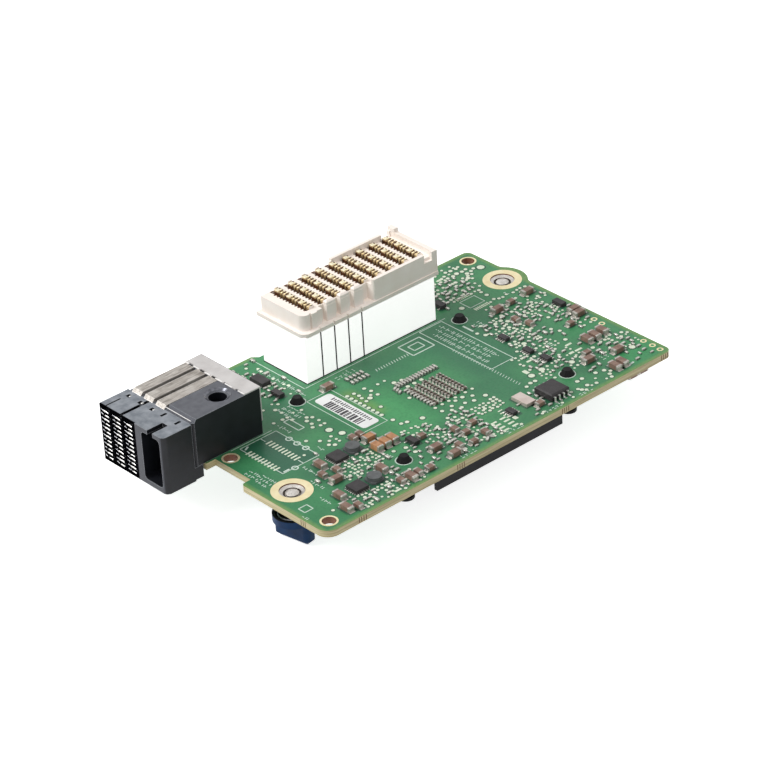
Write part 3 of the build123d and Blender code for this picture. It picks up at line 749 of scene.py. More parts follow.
# %% Places of the small chips
# Each chip: its place and, where it has one, its turn.
small = [
    (16.4, -0.6, 90), (12.4, 6.9, 90), (6.3, -12.0), (8.0, -13.6), (11.0, -13.2, 90), (13.0, -15.2),
    (18.6, -11.6, 90), (26.6, -13.2), (28.2, -12.2, 90), (29.8, -0.9), (35.2, -1.2, 30), (34.6, -3.0, 30),
    (36.6, -4.8, 90), (37.4, -9.0), (40.8, -4.2, 90), (41.0, -6.0), (44.4, -5.6), (44.8, -10.6, 90),
    (45.0, -13.0, 90), (40.2, -12.2), (36.4, -8.0, 90), (59.4, -8.2, 90), (59.8, -10.0, 90), (56.2, -14.2),
    (59.4, -14.6), (76.4, -10.6), (78.2, -10.4, 90), (75.0, -11.0), (86.8, -6.8), (88.0, -8.0),
    (90.0, -8.6, 90), (90.2, -7.2), (81.4, -1.2), (76.8, -1.0), (75.2, 0.6, 90), (74.4, -2.2, 90),
    (73.8, 1.8), (70.4, -1.2, 90), (69.2, -1.6), (67.2, -0.6, 90), (80.6, 6.6, 30), (82.0, 4.2, 90),
    (86.8, 3.8, 90), (85.0, 9.6), (87.8, 9.2, 30), (88.6, 6.6), (90.6, 5.6), (81.8, 13.0), (84.0, 13.6, 90),
    (87.6, 12.8, 90), (88.2, 14.2, 90), (86.4, 17.0), (84.4, 18.6), (86.0, 19.6, 30), (83.2, 20.0),
    (81.4, 18.4, 90), (76.4, 21.4, 90), (74.0, 17.2, 90), (71.4, 17.6, 90), (71.0, 15.6, 90),
    (70.6, 9.0, 90), (74.4, 10.6), (73.9, 32.8), (75.4, 34.4), (72.2, 31.0, 90), (76.0, 36.6, 90),
    (77.6, 34.2), (79.2, 35.6, 90), (81.2, 36.2), (78.4, 37.8), (80.0, 33.6, 90), (76.6, 40.2, 90),
    (20.8, 31.4), (24.2, 31.8), (24.6, 34.6), (26.4, 28.4, 90), (23.2, 42.0), (24.2, 40.6, 90)]
small_places = [(x, y, 0.0, *turn) for x, y, *turn in small if room(x, y, 0.5)]
scatter = random.Random(7)


def loose_grid(x0, x1, y0, y1, pitch, drift):
    """Places on a grid over an area, each moved at random by up to a share of the spacing."""
    for i in range(int((x1 - x0) / pitch)):
        for j in range(int((y1 - y0) / pitch)):
            x = x0 + (i + 0.5 + scatter.uniform(-drift, drift)) * pitch
            yield x, y0 + (j + 0.5 + scatter.uniform(-drift, drift)) * pitch


# Each crowded area: its sides, the spacing, the share of places filled and how many chips are turned aslant.
crowds = [
    (5.0, 22.5, -16.4, 1.6, 1.75, 0.5, 0.0), (33.5, 46.0, -15.6, -1.2, 1.55, 0.62, 0.2),
    (67.0, 79.5, -9.0, 4.8, 1.6, 0.5, 0.15), (70.0, 92.6, 4.8, 22.0, 1.7, 0.5, 0.25),
    (73.0, 83.5, 31.6, 42.0, 1.5, 0.55, 0.0), (19.0, 29.0, 28.0, 46.0, 2.0, 0.4, 0.0),
    (54.0, 62.0, -16.0, -6.8, 1.7, 0.5, 0.0), (24.0, 34.0, -16.0, -5.6, 1.7, 0.45, 0.0),
    (79.0, 92.0, 20.5, 27.0, 1.8, 0.35, 0.1), (79.5, 92.0, -16.0, -2.0, 1.8, 0.35, 0.0)]
for x0, x1, y0, y1, pitch, share, aslant in crowds:
    for x, y in loose_grid(x0, x1, y0, y1, pitch, 0.2):
        turn = scatter.choice((0, 90)) if scatter.random() > aslant else scatter.choice((35, -55))
        width = scatter.choice((0.85, 0.85, 1.0, 1.25))
        if scatter.random() < share and room(x, y, 0.5 * width):
            small_places.append((x, y, 0.0, turn, (width, width, width)))
rows = [(36.6 + i * 1.05, y, 0.0, 90, (1.15, 1.1, 1.2)) for i in range(5) for y in (22.6, 24.4)]
rows += [(42.2 + i * 0.84, 14.5, 0.0, 90, (1.5, 1.0, 1.5)) for i in range(14)]
rows += [(42.3, 3.6 + i * 1.02, 0.0, 0, (1.15, 1.1, 1.2)) for i in range(9)]
rows += [(40.9 + 0.1 * i, 12.2 + i * 0.9, 0.0, 30, (1.1, 1.1, 1.2)) for i in range(3)]
taken += [(place[0], place[1], 0.6) for place in rows]
print("small chips:", len(small_places) + len(rows))


# %% Bodies and ends of the small chips
def chip_ends():
    """Both ends in one model: a softened block and its mirror image."""
    end = shaped("end", (0.24, 0.54, 0.4), (0.4, 0.0, 0.2), 0.06, above(0.1))
    end.modifiers.new("other end", "MIRROR")
    apply_last(end)
    return face_outward(end)


others = [place for k, place in enumerate(small_places) if k % 3]
for name, places, material, slot in (("small_resistors", small_places[::3] + rows, epoxy, "package_black"),
                                     ("small_capacitors", others, dark_ceramic, "ceramic_brown")):
    bricks(name, (0.62, 0.5, 0.36), (0.0, 0.0, 0.18), 0.04, places, material, slot, above(0.3))
spread(chip_ends(), "small_chip_ends", small_places + rows, solder, "lead_tin")

# %% [markdown]
# ## Pads and vias
# Round dots of solder stand where holes carry tracks through the board, and larger ones serve as
# test points. One dot is a ten-sided disc with its top inset and pushed down to a dimple.

# %% Vias, those that stand out first and then the fields
USUAL_WIDTH = 0.9
# Each dot: its place and, where it isn't the usual one, its width.
vias = [
    (20.6, 14.7, 0.8), (21.7, 14.7, 0.8), (21.7, 16.5, 0.8), (19.7, 16.5), (18.9, 15.3), (21.5, 18.4),
    (19.7, 18.1, 1.0), (20.6, 19.2), (16.4, 10.1), (19.2, 9.8, 0.8), (17.8, 8.7, 0.8), (16.7, 7.6),
    (17.6, 6.7, 1.0), (19.3, 8.2, 0.7), (19.3, 7.2, 0.7), (14.4, 12.2), (10.5, 8.3, 0.7), (0.9, -11.7, 0.8),
    (20.6, 12.0, 1.6), (21.7, 9.1, 1.5), (24.3, -4.1), (27.0, -4.9, 1.0), (27.3, -7.5, 1.0),
    (18.9, -9.2, 0.8), (37.3, 1.2, 1.2), (34.0, 2.4, 1.0), (32.7, 2.8), (32.5, 5.2, 1.0), (34.3, 11.0),
    (33.9, 19.1), (34.1, 17.7), (33.8, 16.5), (33.7, 14.9), (35.1, 15.3, 1.2), (36.0, 16.1, 0.8),
    (36.8, 19.1), (37.2, 17.3), (37.2, 15.2), (40.0, 18.3, 0.8), (41.9, 18.3, 0.7), (42.8, 16.2, 1.1),
    (44.7, 15.9), (43.8, 12.9, 1.0), (45.7, 12.9, 1.0), (47.7, 12.9, 1.0), (65.0, -3.2, 1.5),
    (68.3, -2.9, 1.5), (74.9, -5.4, 1.4), (88.3, -10.4, 1.5), (61.1, -5.7), (62.7, -5.2, 1.0),
    (64.0, -5.3, 1.0), (70.0, -12.0, 1.0), (71.5, -11.9, 1.0), (70.4, -14.6, 1.0), (68.3, -15.1, 1.0),
    (72.4, -15.4), (77.0, -14.8, 1.0), (75.2, -12.3, 1.0), (77.2, -12.9, 1.0), (77.0, -4.4, 0.8),
    (82.3, -4.4, 1.0), (85.2, -3.9, 0.8), (86.5, -3.9), (87.5, -3.3, 0.7), (88.6, -3.2), (91.2, -4.3),
    (92.1, -5.2, 0.8), (89.9, -5.5), (80.7, 2.4, 1.0), (77.6, 7.0), (69.9, 6.4, 0.8), (81.7, 7.9),
    (82.5, 6.0), (71.0, 2.2), (72.5, 9.8, 0.8), (73.3, 7.7, 1.2), (69.3, 18.3), (70.1, 16.5, 1.0),
    (74.7, 15.8), (76.7, 18.6, 1.0), (74.9, 18.4, 1.0), (77.6, 17.3, 1.1), (75.9, 15.1, 1.0),
    (74.6, 28.9, 1.3), (82.5, 31.0), (82.5, 29.2, 1.0), (82.3, 26.7), (84.9, 37.8, 1.2), (90.3, 39.4, 1.8),
    (88.8, 40.2), (87.6, 39.7), (86.2, 39.5, 1.1), (84.5, 41.2, 1.2), (86.0, 41.0, 1.0), (83.2, 40.9, 1.0),
    (85.9, 42.9), (84.4, 43.1, 1.0), (87.3, 41.2), (78.3, 20.1, 1.0), (84.9, 12.0), (89.9, 20.5),
    (91.9, 20.4, 0.8), (88.6, 16.3), (49.9, -15.7, 0.8), (56.5, -15.6, 0.8)]
vias += [(32.2, 8.4 + 1.37 * i, 0.95) for i in range(9)]
vias.append((40.9, 9.2))
vias += [(x, 2.2, 0.8) for x in (41.9, 43.9, 45.8, 47.7, 50.6, 52.6)]
vias += [
    (46.8, 1.2), (48.8, 1.2, 1.0), (44.8, 0.2), (42.0, 0.2), (50.7, 0.1), (43.7, -1.0), (45.9, -1.7),
    (47.6, -0.9), (49.6, -1.6, 1.0), (52.7, -1.8, 1.1), (40.9, -2.7), (42.2, -3.5, 0.8), (41.5, -4.8),
    (43.1, -4.9)]
vias = [(x, y, width[0] if width else USUAL_WIDTH) for x, y, *width in vias]
placed = [(x, y, width) for x, y, width in vias if room(x, y, 0.4 * width)]
FULLER = 0.12
# Each field: its sides, the spacing, the share of places filled (all a little fuller) and a dot's width.
fields = [
    (46.4, 54.4, -7.4, -3.2, 1.05, 0.95, 0.72), (73.6, 88.4, 31.6, 45.4, 1.25, 0.6, 0.8),
    (10.6, 22.0, -6.0, 1.6, 0.98, 0.8, 0.66), (6.0, 23.0, -16.6, -10.0, 1.1, 0.6, 0.68),
    (70.4, 78.5, 6.4, 13.4, 1.0, 0.75, 0.7), (66.0, 80.0, -8.0, 5.6, 1.2, 0.6, 0.66),
    (70.4, 89.5, 12.6, 21.4, 1.12, 0.62, 0.74), (33.4, 46.4, -15.8, -3.0, 1.15, 0.55, 0.66),
    (83.0, 92.8, -10.0, -3.4, 1.3, 0.45, 0.66), (13.6, 22.6, 19.8, 29.0, 1.8, 0.35, 0.8),
    (29.6, 37.4, -8.0, 1.6, 1.25, 0.5, 0.66), (77.4, 92.6, 18.8, 27.0, 1.3, 0.45, 0.72),
    (86.0, 92.8, 3.0, 18.0, 1.4, 0.35, 0.66), (18.0, 28.0, 28.0, 46.0, 1.5, 0.35, 0.7),
    (55.0, 80.0, -16.4, -12.6, 1.5, 0.35, 0.75)]
for x0, x1, y0, y1, pitch, share, width in fields:
    for x, y in loose_grid(x0, x1, y0, y1, pitch, 0.22):
        size = width * scatter.uniform(0.8, 1.2)
        if scatter.random() < share + FULLER and room(x, y, 0.4 * size):
            placed.append((x, y, size))
# The processor's own pads come through between its capacitors.
placed += [(44.15 + i * 2.05, 3.8 + j * 1.0, 0.55) for i in range(4) for j in range(8)]
# Copper pads dipped in solder: pale, and bright where they face the lamp.
pale = finish("solder_coated_pad", "#d8e8ca", "#f6fae8", 0.8, 0.3, 0.5, 0.3, 0.015)
dot = press_top(disc("via", 0.5, 0.08, 10, (0.0, 0.0, 0.02)), (0.16, 0.02), (0.16, -0.03))
spread(dot, "via_pads", [(x, y, 0.0, 0.0, (width, width, 1)) for x, y, width in placed], pale, "lead_tin")

# %% [markdown]
# ## Clearances and painted shadow
# Copper is etched away round every pad, and over bare laminate the green lacquer looks much darker. So each
# dot gets a dark ring, and each chip and larger part a dark patch a little wider than itself, which is
# painted shadow round its foot; all are thin as the lacquer itself.

# %% Dark rings and patches
# Lacquer over bare laminate, with no copper below to send the light back: much darker and bluer. It serves
# for painted shadow too.
dim = finish("bare_laminate_mask_and_painted_shadow", "#1d4d37", "#2a6447", 2.0, 0.4, 0.5, 0.4, 0.01)
spread(ring_model(0.48, 0.72, 0.03, 10), "via_clearances",
       [(x, y, 0.0, 0.0, (width, width, 1)) for x, y, width in placed if width > 0.56], dim, "laminate_green")
PATCH = (1.4, 0.86, 0.02)
part_shadow_places = []
for name in large + ["capacitor_array"] + numbered("power_controller", 2) + numbered("inductor", 2) + [
        "memory_chip", "crystal", "interface_chip", "drivers", "transistors"]:
    wide = 0.4 if name == "capacitor_array" else 1.1
    for lo, hi in solids_of(name):
        stretch = [(hi[i] - lo[i] + wide) / PATCH[i] for i in (0, 1)] + [1]
        part_shadow_places.append((*centre_of(lo, hi), -0.002, 0.0, stretch))
# Painted shadow: each chip and part gets a dark patch a little wider than itself, round its foot.
for name, places in (("chip_shadows", small_places + rows), ("part_shadows", part_shadow_places)):
    bricks(name, PATCH, (0, 0, 0), 0.1, places, dim, "laminate_green", standing)

# %% [markdown]
# ## White print
# Screen-printed epoxy ink outlines the parts and fills the bare areas with rows of short strokes.
# A stroke is a bar with softened top edges. The print is plain strokes and frames and says nothing.

# %% Strokes and frames
strokes = []


def stroke(x0, y0, x1, y1, width=0.2):
    turn = math.degrees(math.atan2(y1 - y0, x1 - x0))
    strokes.append(((x0 + x1) / 2, (y0 + y1) / 2, 0.0, turn, (math.hypot(x1 - x0, y1 - y0), width, 1.0)))


def outline(x0, x1, y0, y1, width=0.2):
    for a, b, c, d in ((x0, y0, x1, y0), (x1, y0, x1, y1), (x1, y1, x0, y1), (x0, y1, x0, y0)):
        stroke(a, b, c, d, width)


def caption(x, y, run, lines, size, seed):
    """Lines of short strokes that fill a strip running along Y, like print too small to read."""
    marks = random.Random(seed)
    for line in range(lines):
        spot = 0.0
        while spot < run:
            length = marks.uniform(0.25, 0.6)
            level = x + line * size * 1.7 + marks.uniform(-0.12, 0.12)
            if marks.random() < 0.5:
                stroke(level, y + spot, level, y + spot + length)
            else:
                stroke(level - size / 2, y + spot, level + size / 2, y + spot)
            spot += length + marks.uniform(0.12, 0.3)


outline(2.8, 12.7, 6.1, 19.9)
stroke(8.4, 19.9, 8.4, 18.3)
stroke(8.4, 7.8, 8.4, 6.1)
for sides in ((16.1, 17.7, 16.6, 21.4, 0.28), (24.8, 31.6, 5.9, 24.0, 0.16), (61.0, 67.6, 5.1, 28.0),
              (76.0, 80.4, 27.6, 31.1), (53.4, 59.6, 21.6, 26.6, 0.34), (55.0, 58.0, 23.0, 25.2, 0.3),
              (-3.6, -1.4, -8.2, -6.2, 0.25)):
    outline(*sides)
for ends in ((1.0, 20.7, 12.2, 20.7), (28.3, 28.4, 69.0, 28.4), (28.0, 28.4, 28.0, 46.0)):
    stroke(*ends, 0.16)
for step in range(26):
    stroke(60.5, -3.8 + step * 0.82, 61.3, -3.5 + step * 0.82, 0.16)
for step in range(13):
    stroke(43.6 + step * 0.75, 22.4, 43.9 + step * 0.75, 23.3, 0.18)
# Each caption: where it starts, how far it runs, how many lines it has and how high its strokes are.
captions = (
    (62.6, 8.0, 17.0, 1, 1.0), (64.4, 9.0, 17.5, 1, 1.0), (66.0, 8.0, 18.5, 1, 1.0),
    (-2.8, 4.8, 3.4, 3, 0.7), (-2.4, 8.4, 3.6, 2, 0.7), (18.3, 20.4, 5.6, 3, 0.8),
    (14.4, 17.4, 3.6, 1, 0.9), (14.6, 6.8, 2.0, 1, 0.7), (2.2, -9.6, 3.0, 1, 0.7), (5.0, -4.0, 4.0, 1, 0.7),
    (7.4, 0.8, 4.2, 1, 0.7), (77.0, 2.8, 2.4, 1, 0.8), (86.0, 26.0, 1.2, 1, 0.6), (22.6, -5.4, 1.4, 1, 0.7),
    (46.0, -16.4, 0.8, 4, 0.7), (57.0, -16.4, 0.8, 5, 0.6), (66.8, -16.6, 0.8, 4, 0.6),
    (26.3, 26.2, 16.0, 1, 0.9), (80.6, -9.6, 1.6, 2, 0.8), (35.6, 26.0, 1.2, 5, 0.7),
    (-4.8, -10.4, 1.6, 1, 0.7), (13.2, -5.6, 1.6, 1, 0.7), (71.6, 20.2, 1.8, 2, 0.8),
    (3.4, -12.6, 2.4, 1, 0.7), (32.6, -16.4, 0.9, 4, 0.7), (90.2, -2.0, 1.6, 1, 0.8),
    (25.0, 0.0, 1.8, 1, 0.7), (11.2, 25.0, 3.6, 2, 0.8))
for seed, (x, y, run, lines, size) in enumerate(captions, 1):
    caption(x, y, run, lines, size, seed)
for ends in ((69.4, 19.7, 69.4, 23.0, 0.5), (82.0, -15.3, 84.1, -15.0, 0.5), (3.3, 6.5, 4.9, 6.5, 0.45),
             (3.3, 18.8, 4.6, 19.4, 0.45)):
    stroke(*ends)
# Epoxy ink squeezed through a screen: chalky, and faintly green because the mask shows through.
ink = finish("screen_printed_epoxy_ink", "#c4dccb", "#e4efe6", 0.7, 0.5, 0.7, 0.2, 0.01)
spread(press_top(block("stroke", (1.0, 1.0, 0.03), (0.0, 0.0, 0.012)), (0.04, 0.006)),
       "white_print", strokes, ink, "label_paper")

# %% [markdown]
# ## Bare footprints
# Some parts were never fitted, so their rows of tinned pads lie open: two rows of ten beside the
# black connector, two rows of four near the edge and a small square one by the far screw.

# %% Rows of open pads
open_pads = []
# Each pair of rows: how many pads, the first two, the step along X and along Y, and a pad's size.
for count, firsts, step_x, step_y, size in (
        (10, ((3.1, 8.4), (8.65, 8.4)), 0.0, 1.0, (1.7, 0.42, 1.0)),
        (4, ((46.2, -15.0), (48.8, -15.0)), 0.0, 1.27, (1.6, 0.55, 1.0)),
        (8, ((76.3, 26.3), (76.3, 32.3)), 0.55, 0.0, (0.32, 1.1, 1.0))):
    for k in range(count):
        open_pads += [(x + k * step_x, y + k * step_y, 0.0, 0.0, size) for x, y in firsts]
# Single pads: place, width and length.
open_pads += [(x, y, 0.0, 0.0, (width, length, 1.0)) for x, y, width, length in (
        (79.6, 0.4, 1.8, 0.6), (79.6, -2.7, 2.0, 0.6), (77.6, -2.6, 1.3, 0.7), (69.0, 3.5, 1.6, 0.6),
        (69.0, 1.6, 1.6, 0.6), (78.6, 11.3, 1.6, 0.7), (82.4, -7.8, 1.4, 0.5), (50.8, -12.9, 1.0, 1.2),
        (15.0, -12.6, 1.7, 0.7), (15.0, -15.7, 1.7, 0.6), (79.9, 41.8, 1.8, 0.7), (65.2, -1.2, 1.0, 1.6),
        (50.5, -8.6, 1.2, 0.35), (50.2, -9.6, 1.2, 0.35), (50.2, -10.6, 1.2, 0.35),
        (50.2, -11.6, 1.2, 0.35))]
spread(tile_model(), "open_pads", open_pads, pale, "lead_tin")

# %% [markdown]
# ## Rings
# Holes that are plated through, or that a pin or screw passes, wear a flat ring. A ring is a circle
# extruded outwards and given its thickness by a modifier.

# %% Flat rings
TOP_FACE, UNDER_FACE = 0.01, -1.58
plated = [(91.8, -10.4), (91.8, -13.1), (91.7, -15.5), (91.2, 4.1), (91.0, 1.5)]
tested = [(12.5, 15.5), (12.5, 12.9), (12.6, 10.2), (6.0, 6.0)]
around_pins = at_heights(PIN_HOLES, TOP_FACE)
for name, inner, outer, height, sides, places, material, slot in (
        ("tooling_hole_rings", 1.52, 1.95, 0.06, 40, at_heights(TOOL_HOLES, TOP_FACE, UNDER_FACE),
         gold_pad, "pad_gold"),
        ("push_pin_rings", 1.66, 1.9, 0.05, 40, around_pins, ink, "label_paper"),
        # Painted shade: a thin black ring round each pin, where the gap in its hole lies in shade.
        ("push_pin_hole_shades", 1.2, 1.64, 0.04, 40, around_pins, nylon, "resin_black"),
        ("plated_hole_rings", 0.4, 0.75, 0.06, 20, at_heights(plated, TOP_FACE, UNDER_FACE),
         gold_pad, "pad_gold"),
        ("test_pad_rings", 0.5, 0.82, 0.05, 20, at_heights(tested, TOP_FACE), ink, "label_paper")):
    spread(ring_model(inner, outer, height, sides), name, places, material, slot)

# %% [markdown]
# ## Screw seats and countersink
# The ferrule that holds each captive screw shows a bright turned rim below the gold ring, and the
# screw ends in a small dome. The guide hole in the black module has a turned countersink of steel.

# %% Turned details
# Rims turned on a lathe and plated with nickel: nearly white, with a fine shine.
bright = finish("turned_nickel_rim", "#bfb9b2", "#e6e2dc", 0.8, 0.25, 0.4, 0.2, 0.006, metallic=0.6)
spread(ring_model(1.98, 2.7, 0.1, 40, 0.32), "ferrule_rims", at_heights(SCREWS.values(), -0.28),
       bright, "screw_steel")
for side, (x, y) in SCREWS.items():
    dome = press_top(disc(side + "_thumbscrew_end", 1.45, 0.5, 28, (x, y, -0.72)), (0.25, 0.14), (0.4, 0.08))
    dress(dome, bright, "screw_steel", side + "_thumbscrew")
# Turned steel left unplated: a dark mirror with a sharp highlight.
bare_steel = finish("turned_dark_steel", "#4a4b52", "#85878e", 0.8, 0.16, 0.26, 0.2, 0.006, metallic=1.0)
spread(ring_model(2.35, 2.9, 0.05, 48, 0.37), "countersink_lip", [(2.4, 25.45, 11.18)],
       bare_steel, "shield_metal")

# %% [markdown]
# ## Contact rows of the cream connector
# Gold springs stand along one wall of each slot, bent over at the top, and the other wall is notched. The
# frame has the blades, and this adds what lies between and behind them, with dark sheets as painted shade in
# the slots.

# %% Trenches, bent tips and notches
SLOT_PITCH, CONTACT_PITCH = 3.91, 0.97
SLOT_RIM, BLADE_TOP = 15.7, 16.25
slot_middles = [33.33 + SLOT_PITCH * i for i in range(9)]
every_slot = [(x, 37.72, SLOT_RIM) for x in slot_middles]
wide_places = [(x, 42.525 - 3.88 * group, BLADE_TOP) for x in slot_middles for group in range(3)]
narrow_places = [(x, y - 1.37 - CONTACT_PITCH * k, z) for x, y, z in wide_places for k in (0, 1)]
# The wall of a slot gets only light that the gold has tinted, so the cream polymer looks brown there.
resin = finish("shaded_brown_resin", "#3a1c06", "#643814", 0.8, 0.5, 0.7, 0.2, 0.01)
# A painted highlight: a paler gold, almost white, for the tops of the contacts, where they catch the light.
pale_gold = finish("gold_with_painted_highlight", "#fbedc0", "#fffce6", 0.5, 0.35, 0.5, 0.2, 0.006, metallic=0.25)


def along_slots(first, height):
    """Eleven places along each slot, one contact pitch apart."""
    return [(x, first + CONTACT_PITCH * k, height) for x in slot_middles for k in range(11)]


# Signal blades bend over in a narrow tip, and ground blades show a pale pad. Painted shade: dark sheets of
# the shaded resin lie in the slots, behind the blades, on the ridges under the loops, tips and pads, in the
# notches of the other wall and over the ground blades. At the far end some slots have a rounded tab and a
# pocket, also painted as a dark sheet of shade, and teeth stand up along the near wall.
for name, size, centre, width, places, material, slot, *more in (
        ("contact_trenches", (0.6, 11.2, 0.12), (-0.14, 0.0, -0.6), 0.03, every_slot, resin, "resin_black"),
        ("contact_backing", (0.05, 11.1, 0.8), (0.44, 0.0, 0.1), 0.01, every_slot, resin, "resin_black"),
        ("contact_beds", (1.22, 11.1, 0.03), (1.08, 0.0, 0.56), 0.01, every_slot, resin, "resin_black"),
        ("wall_notches", (0.36, 0.46, 0.04), (-0.6, 0.0, 0.0), 0.06, along_slots(32.5, SLOT_RIM),
         resin, "resin_black", standing),
        ("contact_tips", (0.52, 0.44, 0.2), (0.7, 0.0, 0.1), 0.08, narrow_places,
         gold, "contact_gold", above(0.05)),
        ("contact_pads", (1.0, 0.95, 0.12), (0.62, 0.0, 0.2), 0.05, wide_places,
         pale_gold, "contact_gold", above(0.22)),
        ("contact_webs", (0.06, 1.4, 2.3), (0.165, 0.0, -1.4), 0.02, wide_places, resin, "resin_black"),
        ("contact_loops", (0.34, 0.52, 0.16), (1.4, 0.0, 0.08), 0.07, along_slots(32.6, BLADE_TOP),
         pale_gold, "contact_gold", above(0.1)),
        ("slot_end_pockets", (1.0, 0.55, 0.04), (0, 0, 0), 0.2,
         [(x, 43.7, SLOT_RIM) for x in slot_middles[:5]],
         resin, "resin_black", lambda middle, run: abs(run.z) > 0.9 and middle.x > 0),
        ("slot_end_tabs", (1.1, 0.5, 0.9), (1.0, 0.0, 0.45), 0.18,
         [(x, 43.6, SLOT_RIM) for x in slot_middles[:5]],
         cream, "resin_cream", above(0.2), 2),
        ("near_wall_teeth", (2.5, 1.15, 1.05), (0.0, 0.0, 0.5), 0.35,
         [(38.63 + SLOT_PITCH * i, 31.15, SLOT_RIM) for i in range(3)], cream, "resin_cream", above(0.9))):
    bricks(name, size, centre, width, places, material, slot, *more)
# Painted shade: small dark discs between the teeth stand for holes that lie in shade.
hole_shade = disc("hole_shade", 0.28, 0.06, 10)
hold(hole_shade)
bpy.ops.transform.rotate(value=math.radians(90), orient_axis="X", center_override=(0.0, 0.0, 0.0))
settle(hole_shade)
soften(hole_shade, 0.02)
spread(hole_shade, "hole_shade_discs", [(36.7 + SLOT_PITCH * i, 31.8, 12.6) for i in range(3)], resin, "resin_black")

# %% [markdown]
# ## Captive springs
# A coil of round wire stands between the board and each thumbscrew's cup. The share of its height that it
# would keep with the knob pressed is worked out and printed.

# %% Coils
def coil_model(name, node, thickness, turns):
    """A coil of round wire, as tall and as wide as the plain one in the frame."""
    low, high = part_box(node)
    let_go()
    radius = (high[0] - low[0] - thickness * MM) / 2
    bpy.ops.mesh.primitive_circle_add(vertices=8, radius=thickness * MM / 2, location=(radius, 0.0, 0.0),
                                      rotation=(math.pi / 2, 0.0, 0.0))
    piece = named(name)
    turned = piece.modifiers.new("turned", "SCREW")
    turned.iterations = turns
    turned.steps = turned.render_steps = 20
    turned.screw_offset = (high[2] - low[2] - thickness * MM) / turns
    apply_last(piece)
    open_all(piece)
    bpy.ops.mesh.fill_holes(sides=0)
    face_outward(piece)
    piece.location = (*centre_of(low, high), low[2] + thickness * MM / 2)
    settle(piece)
    return piece


travels = {joint["name"]: joint.get("range_m") for joint in frame["record"]["behaviour"]["joints"]}
for side in ("near", "far"):
    node = side + "_spring"
    low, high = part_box(node)
    piece = dress(coil_model(side + "_coil", node, 0.35, 3), wire, "spring_steel")
    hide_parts(node)
    closed = 1 - travels[side + "_press"][1] / (high[2] - low[2]) - 0.01
    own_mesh(piece)
    print(piece.name, "keeps", round(closed, 2), "of its height")

# %% [markdown]
# ## Joints of the white body
# The lower body is stacked from wafers, with a dark joint between each two.

# %% Joints
joints = []
pieces = sorted((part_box(name)[0].x / MM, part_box(name)[1].x / MM) for name in wafers + ["mezz_body"])
for (_, end), (start, _) in zip(pieces, pieces[1:]):
    joints.append(((end + start) / 2, 36.7, 5.5, 0.0, (max(start - end, 0.2) + 0.12, 1, 1)))
bricks("body_joints", (1.0, 14.42, 10.9), (0, 0, 0), 0.02, joints, nylon, "resin_black")
# Painted shadow: dark strips on the board along the body's foot, where the body meets it.
foot_shadow_places = [(48.55, 29.4, 0.01, 0.0, (37.8, 0.4, 1)), (29.7, 36.7, 0.01, 0.0, (0.4, 14.4, 1))]
bricks("body_foot_shadow", (1.0, 1.0, 0.05), (0, 0, 0), 0.02, foot_shadow_places, nylon, "resin_black")

# %% [markdown]
# ## Springs in the mating face
# Behind the openings of the black connector rows of tin-plated springs wait for the other half's
# blades. Each is a narrow tongue that bows a little and falls towards its tip, with the thin end of
# a shield beside it. The springs' shoulders show as bright spots in the three windows on top.

# %% Bowed tongues
def tongue_model(name, depth, length, thick, fall):
    """A tongue along Y that falls towards its free end and bows a little at the middle."""
    tongue = block(name, (depth, length, thick))
    open_all(tongue)
    bpy.ops.mesh.bisect(plane_co=(0.0, 0.0, 0.0), plane_no=(0.0, 1.0, 0.0))
    let_go()
    for level, lift in ((-length / 2, -fall), (length / 2, fall), (0.0, thick * 0.25)):
        choose(tongue, lambda middle, run: abs(middle.y - level) < 0.02 and abs(run.y) < 0.1, "EDGE")
        bpy.ops.transform.translate(value=(0.0, 0.0, lift * MM))
        let_go()
    soften(tongue, thick * 0.15, lambda middle, run: abs(run.y) > 0.5)
    return tongue


COLUMNS = (32.15, 36.05, 39.95)
BAR_PITCH, LOWEST_BAR = 1.03, -2.3
tongues, ends = [], []
for y in COLUMNS:
    for k in range(12):
        z = LOWEST_BAR + BAR_PITCH * k
        if k % 2:
            tongues.append((MATING_FACE, y, z))
        else:
            tongues.append((MATING_FACE, y - 0.2, z, 0.0, (1, 0.75, 0.75)))
        ends.append((MATING_FACE, y + 1.3, z + 0.15, 0.0, (1, 0.5, 1)))
springs = spread(tongue_model("tongue", 0.1, 1.65, 0.34, 0.05), "mating_tongues", tongues,
                 tin, "contact_bright")
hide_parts("backplane_contacts")
spread(tongue_model("shield_end", 0.1, 1.6, 0.14, 0.08), "shield_ends", ends, wire, "shield_metal")
bricks("window_glints", (0.6, 0.45, 0.25), (0, 0, 0), 0.05, [(-9.6, y - 0.5, 10.2) for y in COLUMNS],
       tin, "contact_bright")

# %% [markdown]
# ## Lip of the steel strip
# The strip is bent down a little between the ribs, and that bend is the brightest line on top; its near-white
# colour is a painted highlight. A painted highlight lies along the module's upper edge too.

# %% Bent lip and the gap behind
# A painted highlight: a near-white copy of the stainless steel for the bends and edges that catch the light.
highlight_steel = finish("stainless_steel_with_painted_highlight", "#ece9e6", "#fbf9f7", 1.0, 0.35, 0.5, 0.2, 0.006, metallic=0.2)
lips = [(6.2, y, 11.36, 0.0, (1, length, 1)) for y, length in (
        (22.3, 2.0), (26.4, 2.4), (29.6, 2.2), (33.4, 1.8), (37.0, 1.8), (39.9, 1.2))]
bricks("plate_lips", (0.3, 1.0, 0.16), (0, 0, 0), 0.07, lips, highlight_steel, "plate_metal", above(0.02), 2)
bricks("plate_gap", (0.12, 19.3, 0.4), (0, 0, 0), 0.02, [(10.5, 30.87, 11.2)], nylon, "resin_black")
# A painted highlight: a thin near-white strip along the module's upper edge.
dress(shaped("edge_highlight_strip", (0.22, 8.3, 0.05), (-8.08, 25.5, 11.15), 0.02), highlight_steel, "plate_metal")

# %% [markdown]
# ## Feet of the packages
# The square power controllers have pads that wrap round the lower edge, and the small packages
# have short bent legs. A row of softened blocks stands for them on each side.

# %% Package feet
feet = []
